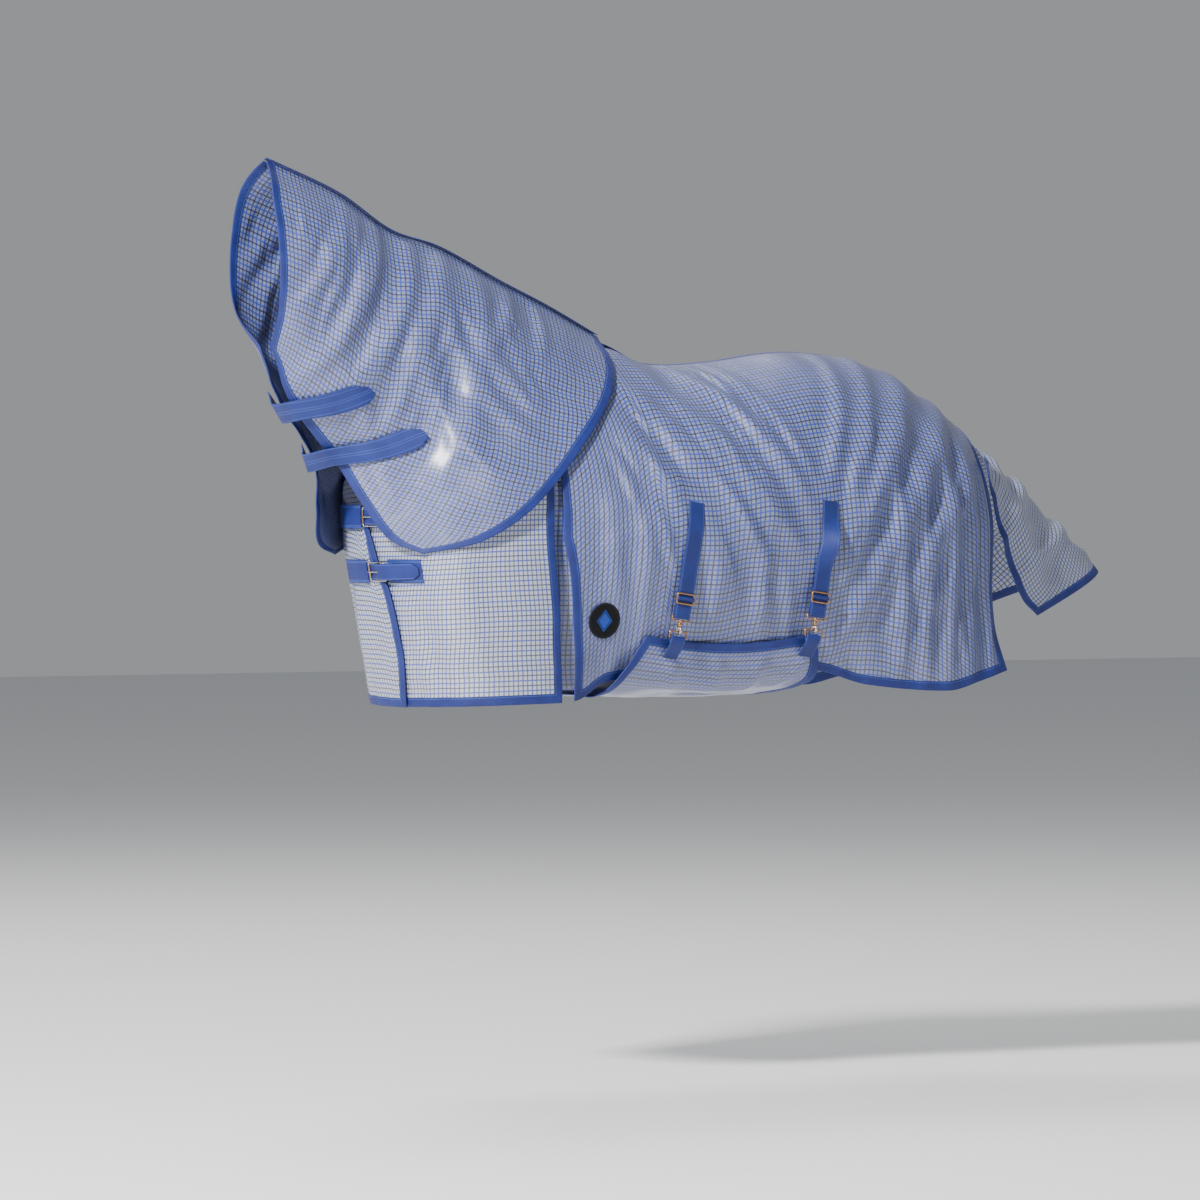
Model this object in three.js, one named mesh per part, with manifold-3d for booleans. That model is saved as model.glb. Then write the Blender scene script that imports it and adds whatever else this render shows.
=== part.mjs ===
// Turnout rug for a horse of about 16 hands, as worn: side, chest and neck panels of coated mesh,
// bound edges, chest straps with buckles, surcingles with snap hooks, a belly wrap and a tail flap.
// Millimetres, +Z up. The horse would face -X with its left side towards -Y.
// The origin is the lowest point of the horse's back, on the spine.

import * as THREE from 'three';
import { mergeVertices } from 'three/addons/utils/BufferGeometryUtils.js';
import Module from 'manifold-3d';

const wasm = await Module();
wasm.setup();

// ---------------------------------------------------------------- driving dimensions

const CLOTH = 3;               // thickness of a mesh panel
const TAPE = 4;                // thickness of a binding folded over an edge
const TAPE_WIDTH = 20;         // how far a binding reaches in from the edge
const SEAM_GAP = 1.2;          // clearance between a panel and its binding
const WEB = 2.2;               // thickness of strap webbing

const CHEST_LINE = -434;       // X where the flank turns into the chest
const CHEST_ROUNDNESS = 2.65;  // exponent of the chest's plan curve
const DOCK = new THREE.Vector3(796, 0, -164);

const CHEST_STRAP_HEIGHTS = { upper: -340, lower: -459 };
const CHEST_STRAP_WIDTH = 36;
const SURCINGLE_WIDTH = 41;
const SURCINGLES = {
  front: { top: [-116, -310], end: [-153, -560] },
  rear: { top: [240, -308], end: [203, -560] },
};
const PATCH_RADIUS = 40;
const PATCH_PLACE = [-330, -569];

const WIRE = 1.6;              // radius of buckle and ring wire
const BLUE = 0x1e42a0;
const MESH_WHITE = 0xdfe6f6;
const BRASS = 0xa8703c;
const STEEL = 0xc9c4b4;
const BLACK = 0x15161c;

// ---------------------------------------------------------------- small curve helpers

const clamp = THREE.MathUtils.clamp;
const lerp = THREE.MathUtils.lerp;
const smooth = (t) => THREE.MathUtils.smoothstep(t, 0, 1);
const degrees = THREE.MathUtils.degToRad;

/** A smooth function y(x) through a few knots [x, y], flat beyond the ends. */
function through(knots) {
  const slopes = knots.map((knot, i) => {
    const before = knots[Math.max(i - 1, 0)];
    const after = knots[Math.min(i + 1, knots.length - 1)];
    return (after[1] - before[1]) / (after[0] - before[0]);
  });
  return (x) => {
    const at = clamp(x, knots[0][0], knots[knots.length - 1][0]);
    const next = clamp(knots.findIndex((knot) => knot[0] >= at), 1, knots.length - 1);
    const [x0, y0] = knots[next - 1];
    const [x1, y1] = knots[next];
    const t = (at - x0) / (x1 - x0);
    const h = x1 - x0;
    return y0 * (1 + 2 * t) * (1 - t) ** 2 + h * slopes[next - 1] * t * (1 - t) ** 2
      + y1 * t * t * (3 - 2 * t) + h * slopes[next] * t * t * (t - 1);
  };
}

/** A smooth space curve through points [x, y, z]; at(t) runs from 0 to 1 by arc length. */
function spaceCurve(points) {
  const knots = points.map((p) => new THREE.Vector3(...p));
  const curve = new THREE.CatmullRomCurve3(knots, false, 'centripetal');
  return (t) => curve.getPointAt(clamp(t, 0, 1));
}

// ---------------------------------------------------------------- the rug's shape on the horse

// Along the back, by X: spine height, half-width at the widest, height of the widest line,
// how far the lower flank tucks in, hem height, and how peaked the section is (1 at the withers).
const spineHeight = through([[-434, 66], [-300, 60], [-169, 46], [-54, 1], [107, 3], [268, 24], [375, 27],
  [510, 9], [644, -47], [751, -115], [800, -168]]);
const halfWidth = through([[-434, 275], [-200, 322], [0, 335], [200, 332], [400, 318], [600, 285],
  [700, 243], [780, 206]]);
const widestHeight = through([[-434, -335], [0, -385], [400, -370], [800, -400]]);
const lowerTuck = through([[-434, 8], [-300, 60], [-100, 82], [150, 80], [400, 38], [600, -5],
  [700, -32], [780, -50]]);
const hemHeight = through([[-434, -742], [-380, -742], [-300, -702], [0, -700], [241, -686], [369, -718],
  [590, -736], [680, -718], [800, -688]]);
const peakedness = through([[-434, 1], [-169, 1], [50, 0.25], [250, 0], [800, 0]]);
const necklineStart = through([[-434, 0.27], [-340, 0.2], [-260, 0.1], [-190, 0]]);

const UPPER_SHARE = 0.5;       // share of a section's parameter spent above the widest line

/** Point of the flank's section at station x; s runs from the spine (0) to the hem (1). */
function flankSection(x, s, side) {
  const top = spineHeight(x);
  const widest = widestHeight(x);
  if (s < UPPER_SHARE) {
    const angle = (s / UPPER_SHARE) * Math.PI / 2;
    const height = Math.cos(angle);
    const peak = peakedness(x);
    const out = (1 - height ** lerp(2, 1.8, peak)) ** (1 / lerp(2, 1.3, peak));
    return new THREE.Vector3(x, side * halfWidth(x) * out, widest + (top - widest) * height);
  }
  const fall = (s - UPPER_SHARE) / (1 - UPPER_SHARE);
  const width = halfWidth(x) - lowerTuck(x) * fall ** 1.7;
  return new THREE.Vector3(x, side * width, lerp(widest, hemHeight(x), fall));
}

/** Section parameter s at which the flank reaches height z at station x. */
function sectionAtHeight(x, z) {
  const top = spineHeight(x);
  const widest = widestHeight(x);
  if (z > widest) return UPPER_SHARE * Math.acos(clamp((z - widest) / (top - widest), 0, 1)) * 2 / Math.PI;
  return UPPER_SHARE + (1 - UPPER_SHARE) * (widest - z) / (widest - hemHeight(x));
}

const chestReach = through([[-760, 252], [-690, 266], [-592, 287], [-480, 309], [-351, 330],
  [-120, 330]]);

/** Half-width of the flank where it turns into the chest, at height z. */
function shoulderWidth(z) {
  return Math.abs(flankSection(CHEST_LINE, sectionAtHeight(CHEST_LINE, z), 1).y);
}

/** Point on the chest at height z; turn runs from the front centre (0) to the flank (1). */
function chestPoint(turn, z, side) {
  const angle = turn * Math.PI / 2;
  const power = 2 / CHEST_ROUNDNESS;
  const x = CHEST_LINE - chestReach(z) * Math.cos(angle) ** power;
  return new THREE.Vector3(x, side * shoulderWidth(z) * Math.sin(Math.abs(angle)) ** power, z);
}

/** Point on the chest at height z by its distance y from the centre plane. */
function chestFront(y, z) {
  const share = clamp(Math.abs(y) / shoulderWidth(z), 0, 1);
  const x = CHEST_LINE - chestReach(z) * (1 - share ** CHEST_ROUNDNESS) ** (1 / CHEST_ROUNDNESS);
  return new THREE.Vector3(x, y, z);
}

/** Point of the rug's side at station x and height z, on the flank or round the shoulder. */
function sidePoint(x, z, side) {
  if (x >= CHEST_LINE) return flankSection(x, sectionAtHeight(x, z), side);
  const share = clamp((CHEST_LINE - x) / chestReach(z), 0, 1);
  const y = shoulderWidth(z) * (1 - share ** CHEST_ROUNDNESS) ** (1 / CHEST_ROUNDNESS);
  return new THREE.Vector3(x, side * y, z);
}

// ---------------------------------------------------------------- sheets and solids

const NORMAL_STEP = 1e-3;

/** Unit normal of surface(u, v), along du x dv. */
function normalOf(surface, u, v) {
  const u0 = Math.max(u - NORMAL_STEP, 0);
  const v0 = Math.max(v - NORMAL_STEP, 0);
  const alongU = surface(Math.min(u + NORMAL_STEP, 1), v).sub(surface(u0, v));
  const alongV = surface(u, Math.min(v + NORMAL_STEP, 1)).sub(surface(u, v0));
  return alongU.cross(alongV).normalize();
}

/** The surface moved along its normal by offset, a number or a function of (u, v). */
function raised(surface, offset) {
  const height = typeof offset === 'function' ? offset : () => offset;
  return (u, v) => surface(u, v).addScaledVector(normalOf(surface, u, v), height(u, v));
}

/** One closed sheet of the given thickness about surface(u, v), on a grid of nu by nv cells. */
function sheet(surface, nu, nv, thickness) {
  const positions = [];
  const faces = [];
  const row = nv + 1;
  const layer = (nu + 1) * row;
  for (const half of [thickness / 2, -thickness / 2]) {
    const skin = raised(surface, half);
    for (let i = 0; i <= nu; i += 1) {
      for (let j = 0; j <= nv; j += 1) positions.push(...skin(i / nu, j / nv).toArray());
    }
  }
  const quad = (a, b, c, d) => faces.push(a, b, c, a, c, d);
  for (let i = 0; i < nu; i += 1) {
    for (let j = 0; j < nv; j += 1) {
      const a = i * row + j;
      quad(a, a + row, a + row + 1, a + 1);
      quad(layer + a, layer + a + 1, layer + a + row + 1, layer + a + row);
    }
  }
  const border = [];
  for (let i = 0; i < nu; i += 1) border.push(i * row);
  for (let j = 0; j < nv; j += 1) border.push(nu * row + j);
  for (let i = nu; i > 0; i -= 1) border.push(i * row + nv);
  for (let j = nv; j > 0; j -= 1) border.push(j);
  border.forEach((from, k) => {
    const to = border[(k + 1) % border.length];
    quad(from, layer + from, layer + to, to);
  });
  const geometry = new THREE.BufferGeometry();
  geometry.setAttribute('position', new THREE.Float32BufferAttribute(positions, 3));
  geometry.setIndex(faces);
  return faceOut(geometry);
}

/** Turns every face round if the closed geometry's volume comes out negative. */
function faceOut(geometry) {
  const p = geometry.attributes.position;
  const index = geometry.index.array;
  const [a, b, c] = [new THREE.Vector3(), new THREE.Vector3(), new THREE.Vector3()];
  let volume = 0;
  for (let i = 0; i < index.length; i += 3) {
    a.fromBufferAttribute(p, index[i]);
    b.fromBufferAttribute(p, index[i + 1]);
    c.fromBufferAttribute(p, index[i + 2]);
    volume += a.dot(b.cross(c));
  }
  if (volume < 0) index.reverse();
  return geometry;
}

/** A three.js geometry with shared vertices merged, as a manifold-3d solid. */
function solid(geometry) {
  const bare = geometry.clone();
  bare.deleteAttribute('normal');
  bare.deleteAttribute('uv');
  const merged = mergeVertices(bare, 1e-4);
  return new wasm.Manifold(new wasm.Mesh({
    numProp: 3,
    vertProperties: new Float32Array(merged.attributes.position.array),
    triVerts: new Uint32Array(merged.index.array),
  }));
}

/** A manifold-3d solid as a three.js geometry. */
function geometryOf(body) {
  const mesh = body.getMesh();
  const geometry = new THREE.BufferGeometry();
  geometry.setAttribute('position', new THREE.BufferAttribute(new Float32Array(mesh.vertProperties), 3));
  geometry.setIndex(new THREE.BufferAttribute(new Uint32Array(mesh.triVerts), 1));
  return geometry;
}

/** The first geometry with the others taken away from it. */
function cut(geometry, ...tools) {
  return geometryOf(tools.reduce((body, tool) => body.subtract(solid(tool)), solid(geometry)));
}

/** All the geometries joined into one. */
function join(geometry, ...more) {
  return geometryOf(more.reduce((body, other) => body.add(solid(other)), solid(geometry)));
}

// ---------------------------------------------------------------- bound panels

/** Share of a parameter that a width in mm takes on the surface at an edge. */
function share(surface, u, v, du, dv, width) {
  const step = 0.01;
  return width * step / surface(u, v).distanceTo(surface(u + du * step, v + dv * step));
}

/**
 * Moves (u, v) in from the bound edges of a surface by width mm.
 * edges holds true for each bound edge: start (u=0), end (u=1), top (v=0), bottom (v=1).
 */
function inset(surface, edges, u, v, width) {
  const start = edges.start ? share(surface, 0, v, 1, 0, width) : 0;
  const end = edges.end ? share(surface, 1, v, -1, 0, width) : 0;
  const top = edges.top ? share(surface, u, 0, 0, 1, width) : 0;
  const bottom = edges.bottom ? share(surface, u, 1, 0, -1, width) : 0;
  return [lerp(start, 1 - end, u), lerp(top, 1 - bottom, v)];
}

/** The panel left inside its bindings. */
function panelSheet(surface, edges, nu, nv) {
  return sheet((u, v) => surface(...inset(surface, edges, u, v, TAPE_WIDTH + SEAM_GAP)), nu, nv, CLOTH);
}

/**
 * The binding tape: a closed strip between an edge route, a list of corners [u, v], and the line
 * TAPE_WIDTH in from it. Its stations are the panel's own, so that the two run side by side.
 */
function bindingTape(surface, edges, route, nu, nv) {
  const stations = [route[0]];
  for (let leg = 1; leg < route.length; leg += 1) {
    const [from, to] = [route[leg - 1], route[leg]];
    const steps = from[0] === to[0] ? nv : nu;
    for (let k = 1; k <= steps; k += 1) {
      stations.push([lerp(from[0], to[0], k / steps), lerp(from[1], to[1], k / steps)]);
    }
  }
  const positions = [];
  for (const outer of stations) {
    for (const [u, v] of [outer, inset(surface, edges, ...outer, TAPE_WIDTH)]) {
      const half = normalOf(surface, u, v).multiplyScalar(TAPE / 2);
      const p = surface(u, v);
      positions.push(...p.clone().add(half).toArray(), ...p.sub(half).toArray());
    }
  }
  return closedStrip(positions, stations.length - 1);
}

/** Closed bar from four points at each station: outer top, outer under, inner top, inner under. */
function closedStrip(positions, cells) {
  const faces = [];
  const quad = (a, b, c, d) => faces.push(a, b, c, a, c, d);
  for (let i = 0; i < cells; i += 1) {
    const a = i * 4;
    const b = a + 4;
    quad(a, a + 2, b + 2, b);
    quad(a + 1, b + 1, b + 3, a + 3);
    quad(a, b, b + 1, a + 1);
    quad(a + 2, a + 3, b + 3, b + 2);
  }
  const last = cells * 4;
  quad(0, 1, 3, 2);
  quad(last, last + 2, last + 3, last + 1);
  const geometry = new THREE.BufferGeometry();
  geometry.setAttribute('position', new THREE.Float32BufferAttribute(positions, 3));
  geometry.setIndex(faces);
  return faceOut(geometry);
}

// ---------------------------------------------------------------- the group and its finishes

const finishes = {
  mesh: new THREE.MeshStandardMaterial({ color: MESH_WHITE, roughness: 0.4, metalness: 0 }),
  tape: new THREE.MeshStandardMaterial({ color: BLUE, roughness: 0.7, metalness: 0 }),
  brass: new THREE.MeshStandardMaterial({ color: BRASS, roughness: 0.3, metalness: 1 }),
  steel: new THREE.MeshStandardMaterial({ color: STEEL, roughness: 0.3, metalness: 1 }),
  patch: new THREE.MeshStandardMaterial({ color: BLACK, roughness: 0.8, metalness: 0 }),
};

const rug = new THREE.Group();

function add(name, geometry, finish, matrix) {
  const mesh = new THREE.Mesh(geometry, finish);
  mesh.name = name;
  if (matrix) matrix.decompose(mesh.position, mesh.quaternion, mesh.scale);
  rug.add(mesh);
}

const SIDES = { left: -1, right: 1 };

/** Adds a panel and its binding; route lists the bound corners in order round the panel. */
function addBound(name, surface, edges, route, nu, nv) {
  add(`${name}_panel`, panelSheet(surface, edges, nu, nv), finishes.mesh);
  add(`${name}_binding`, bindingTape(surface, edges, route, nu, nv), finishes.tape);
}

const OPEN_TOP = { start: true, end: true, bottom: true };
const ROUND_FROM_TOP = [[0, 0], [0, 1], [1, 1], [1, 0]];

// ---------------------------------------------------------------- side panels

const slitRear = through([[-760, -394], [-666, -397], [-531, -405], [-396, -414], [-306, -424],
  [-240, -434]]);
const rearEdge = through([[0, 792], [0.15, 770], [0.5, 764], [0.8, 752], [1, 776]]);

/** Side panel: u from the shoulder slit to the rear edge, v from the spine or neckline to the hem. */
function sidePanel(side) {
  return (u, v) => {
    const front = v < 0.4 ? CHEST_LINE + 1 : slitRear(lerp(-240, -742, (v - 0.4) / 0.6));
    const x = lerp(front, rearEdge(v), u);
    return flankSection(x, lerp(necklineStart(x), 1, v), side);
  };
}

const SPINE_HALF_TAPE = 12;

/** Side panel kept clear of the spine tape. */
function sidePanelBesideSpine(side) {
  const whole = sidePanel(side);
  return (u, v) => whole(u, lerp(share(whole, u, 0, 0, 1, SPINE_HALF_TAPE + SEAM_GAP), 1, v));
}

for (const [name, side] of Object.entries(SIDES)) {
  addBound(`${name}_side`, sidePanelBesideSpine(side), OPEN_TOP, ROUND_FROM_TOP, 20, 10);
}

/** Spine tape: u along the back, v across it. */
function spineTape(u, v) {
  const x = lerp(-160, 772, u);
  const across = lerp(-SPINE_HALF_TAPE, SPINE_HALF_TAPE, v);
  const rise = 0.006 * across * across;
  return new THREE.Vector3(x, across, spineHeight(x) - rise);
}
add('spine_tape', sheet(spineTape, 18, 2, TAPE), finishes.tape);

// ---------------------------------------------------------------- chest panels

const LAP = 7;                 // how far the right chest panel stands off the left one
const slitFront = through([[-748, -413], [-666, -436], [-531, -444], [-396, -458], [-277, -456],
  [-40, -444]]);
const chestHem = through([[-0.3, -764], [0.2, -757], [1, -748]]);
const chestNeckline = through([[-0.3, -345], [0, -338], [0.4, -262], [0.75, -140], [1, -30]]);

/** Chest panel: u from the shoulder slit to the front edge, v from the neckline to the hem. */
function chestPanel(side, frontY, lift) {
  return (u, v) => {
    const turn = 1 - u;
    const z = lerp(chestNeckline(turn), chestHem(turn), v);
    const rearX = slitFront(z);
    const rearShare = (CHEST_LINE - rearX) / chestReach(z);
    const rearTurn = Math.acos(clamp(rearShare, 0.001, 1) ** (CHEST_ROUNDNESS / 2)) * 2 / Math.PI;
    const edge = chestFront(frontY(z), z);
    const edgeShare = Math.abs(edge.y) / shoulderWidth(z);
    const edgeTurn = Math.asin(edgeShare ** (CHEST_ROUNDNESS / 2)) * 2 / Math.PI;
    const across = lerp(rearTurn, Math.sign(edge.y * side) * edgeTurn, u);
    const p = chestPoint(Math.abs(across), z, side * Math.sign(across || 1));
    const away = new THREE.Vector3(p.x - CHEST_LINE, p.y, 0).normalize();
    return p.addScaledVector(away, lift * smooth(u * 2.5 - 1.1));
  };
}

const leftFrontEdge = () => 38;
const rightFrontEdge = through([[-764, -34], [-706, -46], [-640, -58], [-508, -50], [-459, -27],
  [-396, -12], [-338, 8]]);
const chests = {
  left: chestPanel(-1, leftFrontEdge, 0),
  right: chestPanel(1, rightFrontEdge, LAP),
};
for (const [name, surface] of Object.entries(chests)) {
  addBound(`${name}_chest`, surface, OPEN_TOP, ROUND_FROM_TOP, 9, 7);
}

// ---------------------------------------------------------------- shoulder gussets

const GUSSET_TOP = -262;
const GUSSET_HEM = -722;
const GUSSET_LAP = 14;         // how far a gusset runs under the panels on both sides
const GUSSET_INSET = 9;        // how far it lies behind them
const GUSSET_DEPTH = 26;       // how deep its pleat is at the hem

/** Gusset behind the slit: u across it, v from its apex to the hem. */
function gusset(side) {
  return (u, v) => {
    const z = lerp(GUSSET_TOP, GUSSET_HEM, v);
    const x = lerp(slitFront(z) - GUSSET_LAP, slitRear(z) + GUSSET_LAP, u);
    const depth = GUSSET_INSET + GUSSET_DEPTH * Math.sin(Math.PI * u) * v;
    const p = sidePoint(x, z, side);
    p.y -= side * depth;
    return p;
  };
}
for (const [name, side] of Object.entries(SIDES)) {
  add(`${name}_shoulder_gusset`, sheet(gusset(side), 3, 5, CLOTH), finishes.mesh);
}

// ---------------------------------------------------------------- neck panels

const crest = spaceCurve([[-1028, 0, 441], [-845, 0, 369], [-711, 0, 290], [-590, 0, 256], [-429, 0, 182],
  [-300, 0, 126], [-172, 0, 63]]);
const faceEdge = [[-1028, 0, 441], [-1051, 70, 369], [-1054, 105, 234], [-1052, 98, 121], [-1031, 30, 27]];
const throatEdges = {
  left: [[-1031, 30, 27], [-985, 30, -90], [-930, 32, -160], [-864, 30, -227], [-822, 70, -317],
    [-779, 112, -390], [-733, 170, -420]],
  right: [[-1031, 10, 27], [-985, 4, -90], [-930, 8, -160], [-884, 30, -232], [-862, 60, -320],
    [-835, 100, -398], [-752, 172, -424]],
};
const SHOULDER_LIFT = 9;       // how far the neck cover stands off the rug beneath
const SHOULDER_EASE = 14;      // how softly the neck cover comes to lie on the shoulder
const baseEdgeStations = [[-212, -16], [-272, -86], [-368, -176], [-455, -262], [-550, -342], [-640, -394]];

/** Neck panel as a blend of its four edges: u from the face edge to the shoulder, v crest to throat. */
function neckPanel(name) {
  const side = SIDES[name];
  const turned = (points) => points.map(([x, y, z]) => [x, side * y, z]);
  const throat = throatEdges[name];
  const face = spaceCurve(turned([...faceEdge.slice(0, -1), throat[0]]));
  const lower = spaceCurve(turned(throat));
  const base = baseEdgeStations.map(([x, z]) => {
    const p = sidePoint(x, z, 1);
    return [x, p.y + SHOULDER_LIFT, z];
  });
  const shoulder = spaceCurve(turned([crest(1).toArray(), ...base, throat[throat.length - 1]]));
  const [c00, c10, c01, c11] = [crest(0), crest(1), lower(0), lower(1)];
  return (u, v) => {
    const ends = face(v).multiplyScalar(1 - u).addScaledVector(shoulder(v), u);
    const rails = crest(u).multiplyScalar(1 - v).addScaledVector(lower(u), v);
    const corners = c00.clone().multiplyScalar((1 - u) * (1 - v)).addScaledVector(c10, u * (1 - v))
      .addScaledVector(c01, (1 - u) * v).addScaledVector(c11, u * v);
    const p = ends.add(rails).sub(corners);
    const beneath = sidePoint(p.x, p.z, 1).y + SHOULDER_LIFT;
    const gap = Math.abs(p.y) - beneath;
    p.y += side * (Math.hypot(gap, SHOULDER_EASE) - gap) / 2 * smooth(v * 8);
    return p;
  };
}

const MANE_HALF_TAPE = 9;
const necks = {};
for (const name of Object.keys(SIDES)) {
  const whole = neckPanel(name);
  necks[name] = (u, v) => whole(u, lerp(share(whole, u, 0, 0, 1, MANE_HALF_TAPE + SEAM_GAP), 1, v));
  addBound(`${name}_neck`, necks[name], OPEN_TOP, ROUND_FROM_TOP, 14, 9);
}

/** Mane tape along the crest: u along it, v across it. */
function maneTape(u, v) {
  const p = crest(lerp(0.004, 0.996, u));
  const across = lerp(-MANE_HALF_TAPE, MANE_HALF_TAPE, v);
  const rise = 0.02 * across * across;
  return new THREE.Vector3(p.x, across, p.z - rise);
}
add('mane_tape', sheet(maneTape, 16, 2, TAPE), finishes.tape);

// ---------------------------------------------------------------- neck tabs under the throat

const TABS = { upper: { station: 0.24, swing: 0.16 }, lower: { station: 0.47, swing: 0.14 } };
const TAB_REACH = 0.3;         // share of the left panel's depth that a tab covers
const TAB_HALF = 0.034;        // share of the neck's length that half a tab's width takes
const TAB_LIFT = 6.4;          // how far a tab stands off the left neck panel
const ROOT_LIFT = 12;          // how far its sewn end stands off the right one
const TAB_STEPS = 20;
const PAD_HALF = 0.03;
const PAD_LIFT = 3.4;
const PAD_THICKNESS = 1.4;
const TAB_SEAM = 0.25;         // where along a tab it passes from one neck panel to the other
const TAB_ROOT = 0.1;          // share of the right panel's depth under the tab's sewn end

/** A point lift outside a neck panel, away from the horse's neck. */
function overNeck(name, u, v, lift) {
  const p = necks[name](u, v);
  const normal = normalOf(necks[name], u, v);
  const outwards = new THREE.Vector3(-60, p.y, -90);
  p.addScaledVector(normal, lift * Math.sign(normal.dot(outwards)));
  return p.addScaledVector(outwards.setY(0).normalize(), lift * smooth(v * 4 - 3));
}

/** Point of a tab: t runs from its sewn end on the right panel to its free end on the left, b across. */
function tabPoint(tab, t, b) {
  const across = lerp(-TAB_HALF, TAB_HALF, b);
  if (t <= TAB_SEAM) {
    const root = 1 - TAB_ROOT * (1 - t / TAB_SEAM);
    return overNeck('right', tab.station + across, root, ROOT_LIFT);
  }
  const reach = (t - TAB_SEAM) / (1 - TAB_SEAM);
  return overNeck('left', tab.station + tab.swing * reach + across, 1 - TAB_REACH * reach, TAB_LIFT);
}

for (const [name, tab] of Object.entries(TABS)) {
  const rails = [0, 1].map((b) => {
    const points = [];
    for (let i = 0; i <= TAB_STEPS; i += 1) points.push(tabPoint(tab, i / TAB_STEPS, b));
    return new THREE.CatmullRomCurve3(points);
  });
  const surface = (u, v) => rails[0].getPoint(u).lerp(rails[1].getPoint(u), v);
  add(`${name}_neck_tab`, sheet(surface, TAB_STEPS, 1, WEB), finishes.tape);
}

// ---------------------------------------------------------------- belly wrap

const wrapFront = through([[0, -224], [0.2, -300], [0.3, -318], [1, -318]]);
const wrapRear = through([[0, 222], [0.2, 240], [0.3, 232], [1, 200]]);
const WRAP_LIFT = 11;          // how far the wrap's upper edge stands off the side panel
const WRAP_BOTTOM = -736;      // height of the wrap under the belly

/** Belly wrap: u from front to rear, v from the left upper edge under the belly to the right hem. */
function bellyWrap(u, v) {
  const x = lerp(wrapFront(v), wrapRear(v), u);
  const hemY = flankSection(x, 1, 1).y;
  const upper = lerp(-606, -626, Math.sin(Math.PI * u));
  const leftTop = sidePoint(x, upper, 1).y + WRAP_LIFT;
  const hem = hemHeight(x);
  const line = spaceCurve([[x, -leftTop, upper], [x, -hemY - 22, hem + 10], [x, -hemY + 14, hem - 26],
    [x, -120, WRAP_BOTTOM], [x, 120, WRAP_BOTTOM], [x, hemY - 40, hem - 20], [x, hemY + 1, hem - 6.5]]);
  return line(v);
}
const wrapEdges = { start: true, end: true, top: true };
addBound('belly_wrap', bellyWrap, wrapEdges, [[0, 1], [0, 0], [1, 0], [1, 1]], 7, 14);

// ---------------------------------------------------------------- tail flap

const flapRidge = spaceCurve([DOCK.toArray(), [926, 0, -236], [1076, 0, -352], [1214, 0, -472]]);
const flapEdge = spaceCurve([[778, 178, -218], [800, 186, -351], [832, 180, -441], [884, 166, -531],
  [940, 150, -572]]);

/** Tail flap: u from the left edge over the tail to the right edge, v from the dock to its hem. */
function tailFlap(u, v) {
  const across = 2 * u - 1;
  const ridge = flapRidge(v);
  const edge = flapEdge(v);
  const spread = Math.abs(across);
  const p = ridge.lerp(edge, spread ** 1.7);
  p.y = Math.sign(across) * flapEdge(v).y * spread ** 0.85;
  return p;
}
addBound('tail_flap', tailFlap, OPEN_TOP, ROUND_FROM_TOP, 8, 7);

// ---------------------------------------------------------------- round patch on the left shoulder

/** A frame on the left side at (x, z): X down the cloth, Y along the horse, Z out of the cloth. */
function leftSideFrame(x, z, offset) {
  const p = sidePoint(x, z, -1);
  const along = sidePoint(x + 20, z, -1).sub(sidePoint(x - 20, z, -1)).normalize();
  const down = sidePoint(x, z - 20, -1).sub(sidePoint(x, z + 20, -1)).normalize();
  const out = down.clone().cross(along).normalize();
  const level = out.clone().cross(down);
  const frame = new THREE.Matrix4().makeBasis(down, level, out);
  return frame.setPosition(p.addScaledVector(out, offset));
}

const patchDisc = new THREE.CylinderGeometry(PATCH_RADIUS, PATCH_RADIUS, 2, 32);
patchDisc.rotateX(Math.PI / 2);
add('shoulder_patch', patchDisc, finishes.patch, leftSideFrame(...PATCH_PLACE, 5));

// ---------------------------------------------------------------- loop pads and attachment tabs

for (const [name, tab] of Object.entries(TABS)) {
  const pad = (u, v) => {
    const reach = lerp(0.45, 0.95, v);
    const station = tab.station + tab.swing * reach + lerp(-PAD_HALF, PAD_HALF, u);
    return overNeck('left', station, 1 - TAB_REACH * reach, PAD_LIFT);
  };
  add(`${name}_loop_pad`, sheet(pad, 2, 4, PAD_THICKNESS), finishes.tape);
}

for (const [name, side] of Object.entries(SIDES)) {
  const onBody = (u, v) => flankSection(lerp(-268, -240, u), lerp(0.17, 0.25, v), side);
  add(`${name}_attachment_tab`, sheet(raised(onBody, -side * 5), 1, 3, WEB), finishes.tape);
}

// ---------------------------------------------------------------- strips of webbing

/** A strip of webbing along points, as wide as width along the unit vector across. */
function webbing(points, across, width, thickness, steps) {
  const curve = new THREE.CatmullRomCurve3(points, false, 'centripetal');
  const strip = (u, v) => curve.getPoint(u).addScaledVector(across, (v - 0.5) * width);
  return sheet(strip, steps, 1, thickness);
}

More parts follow.
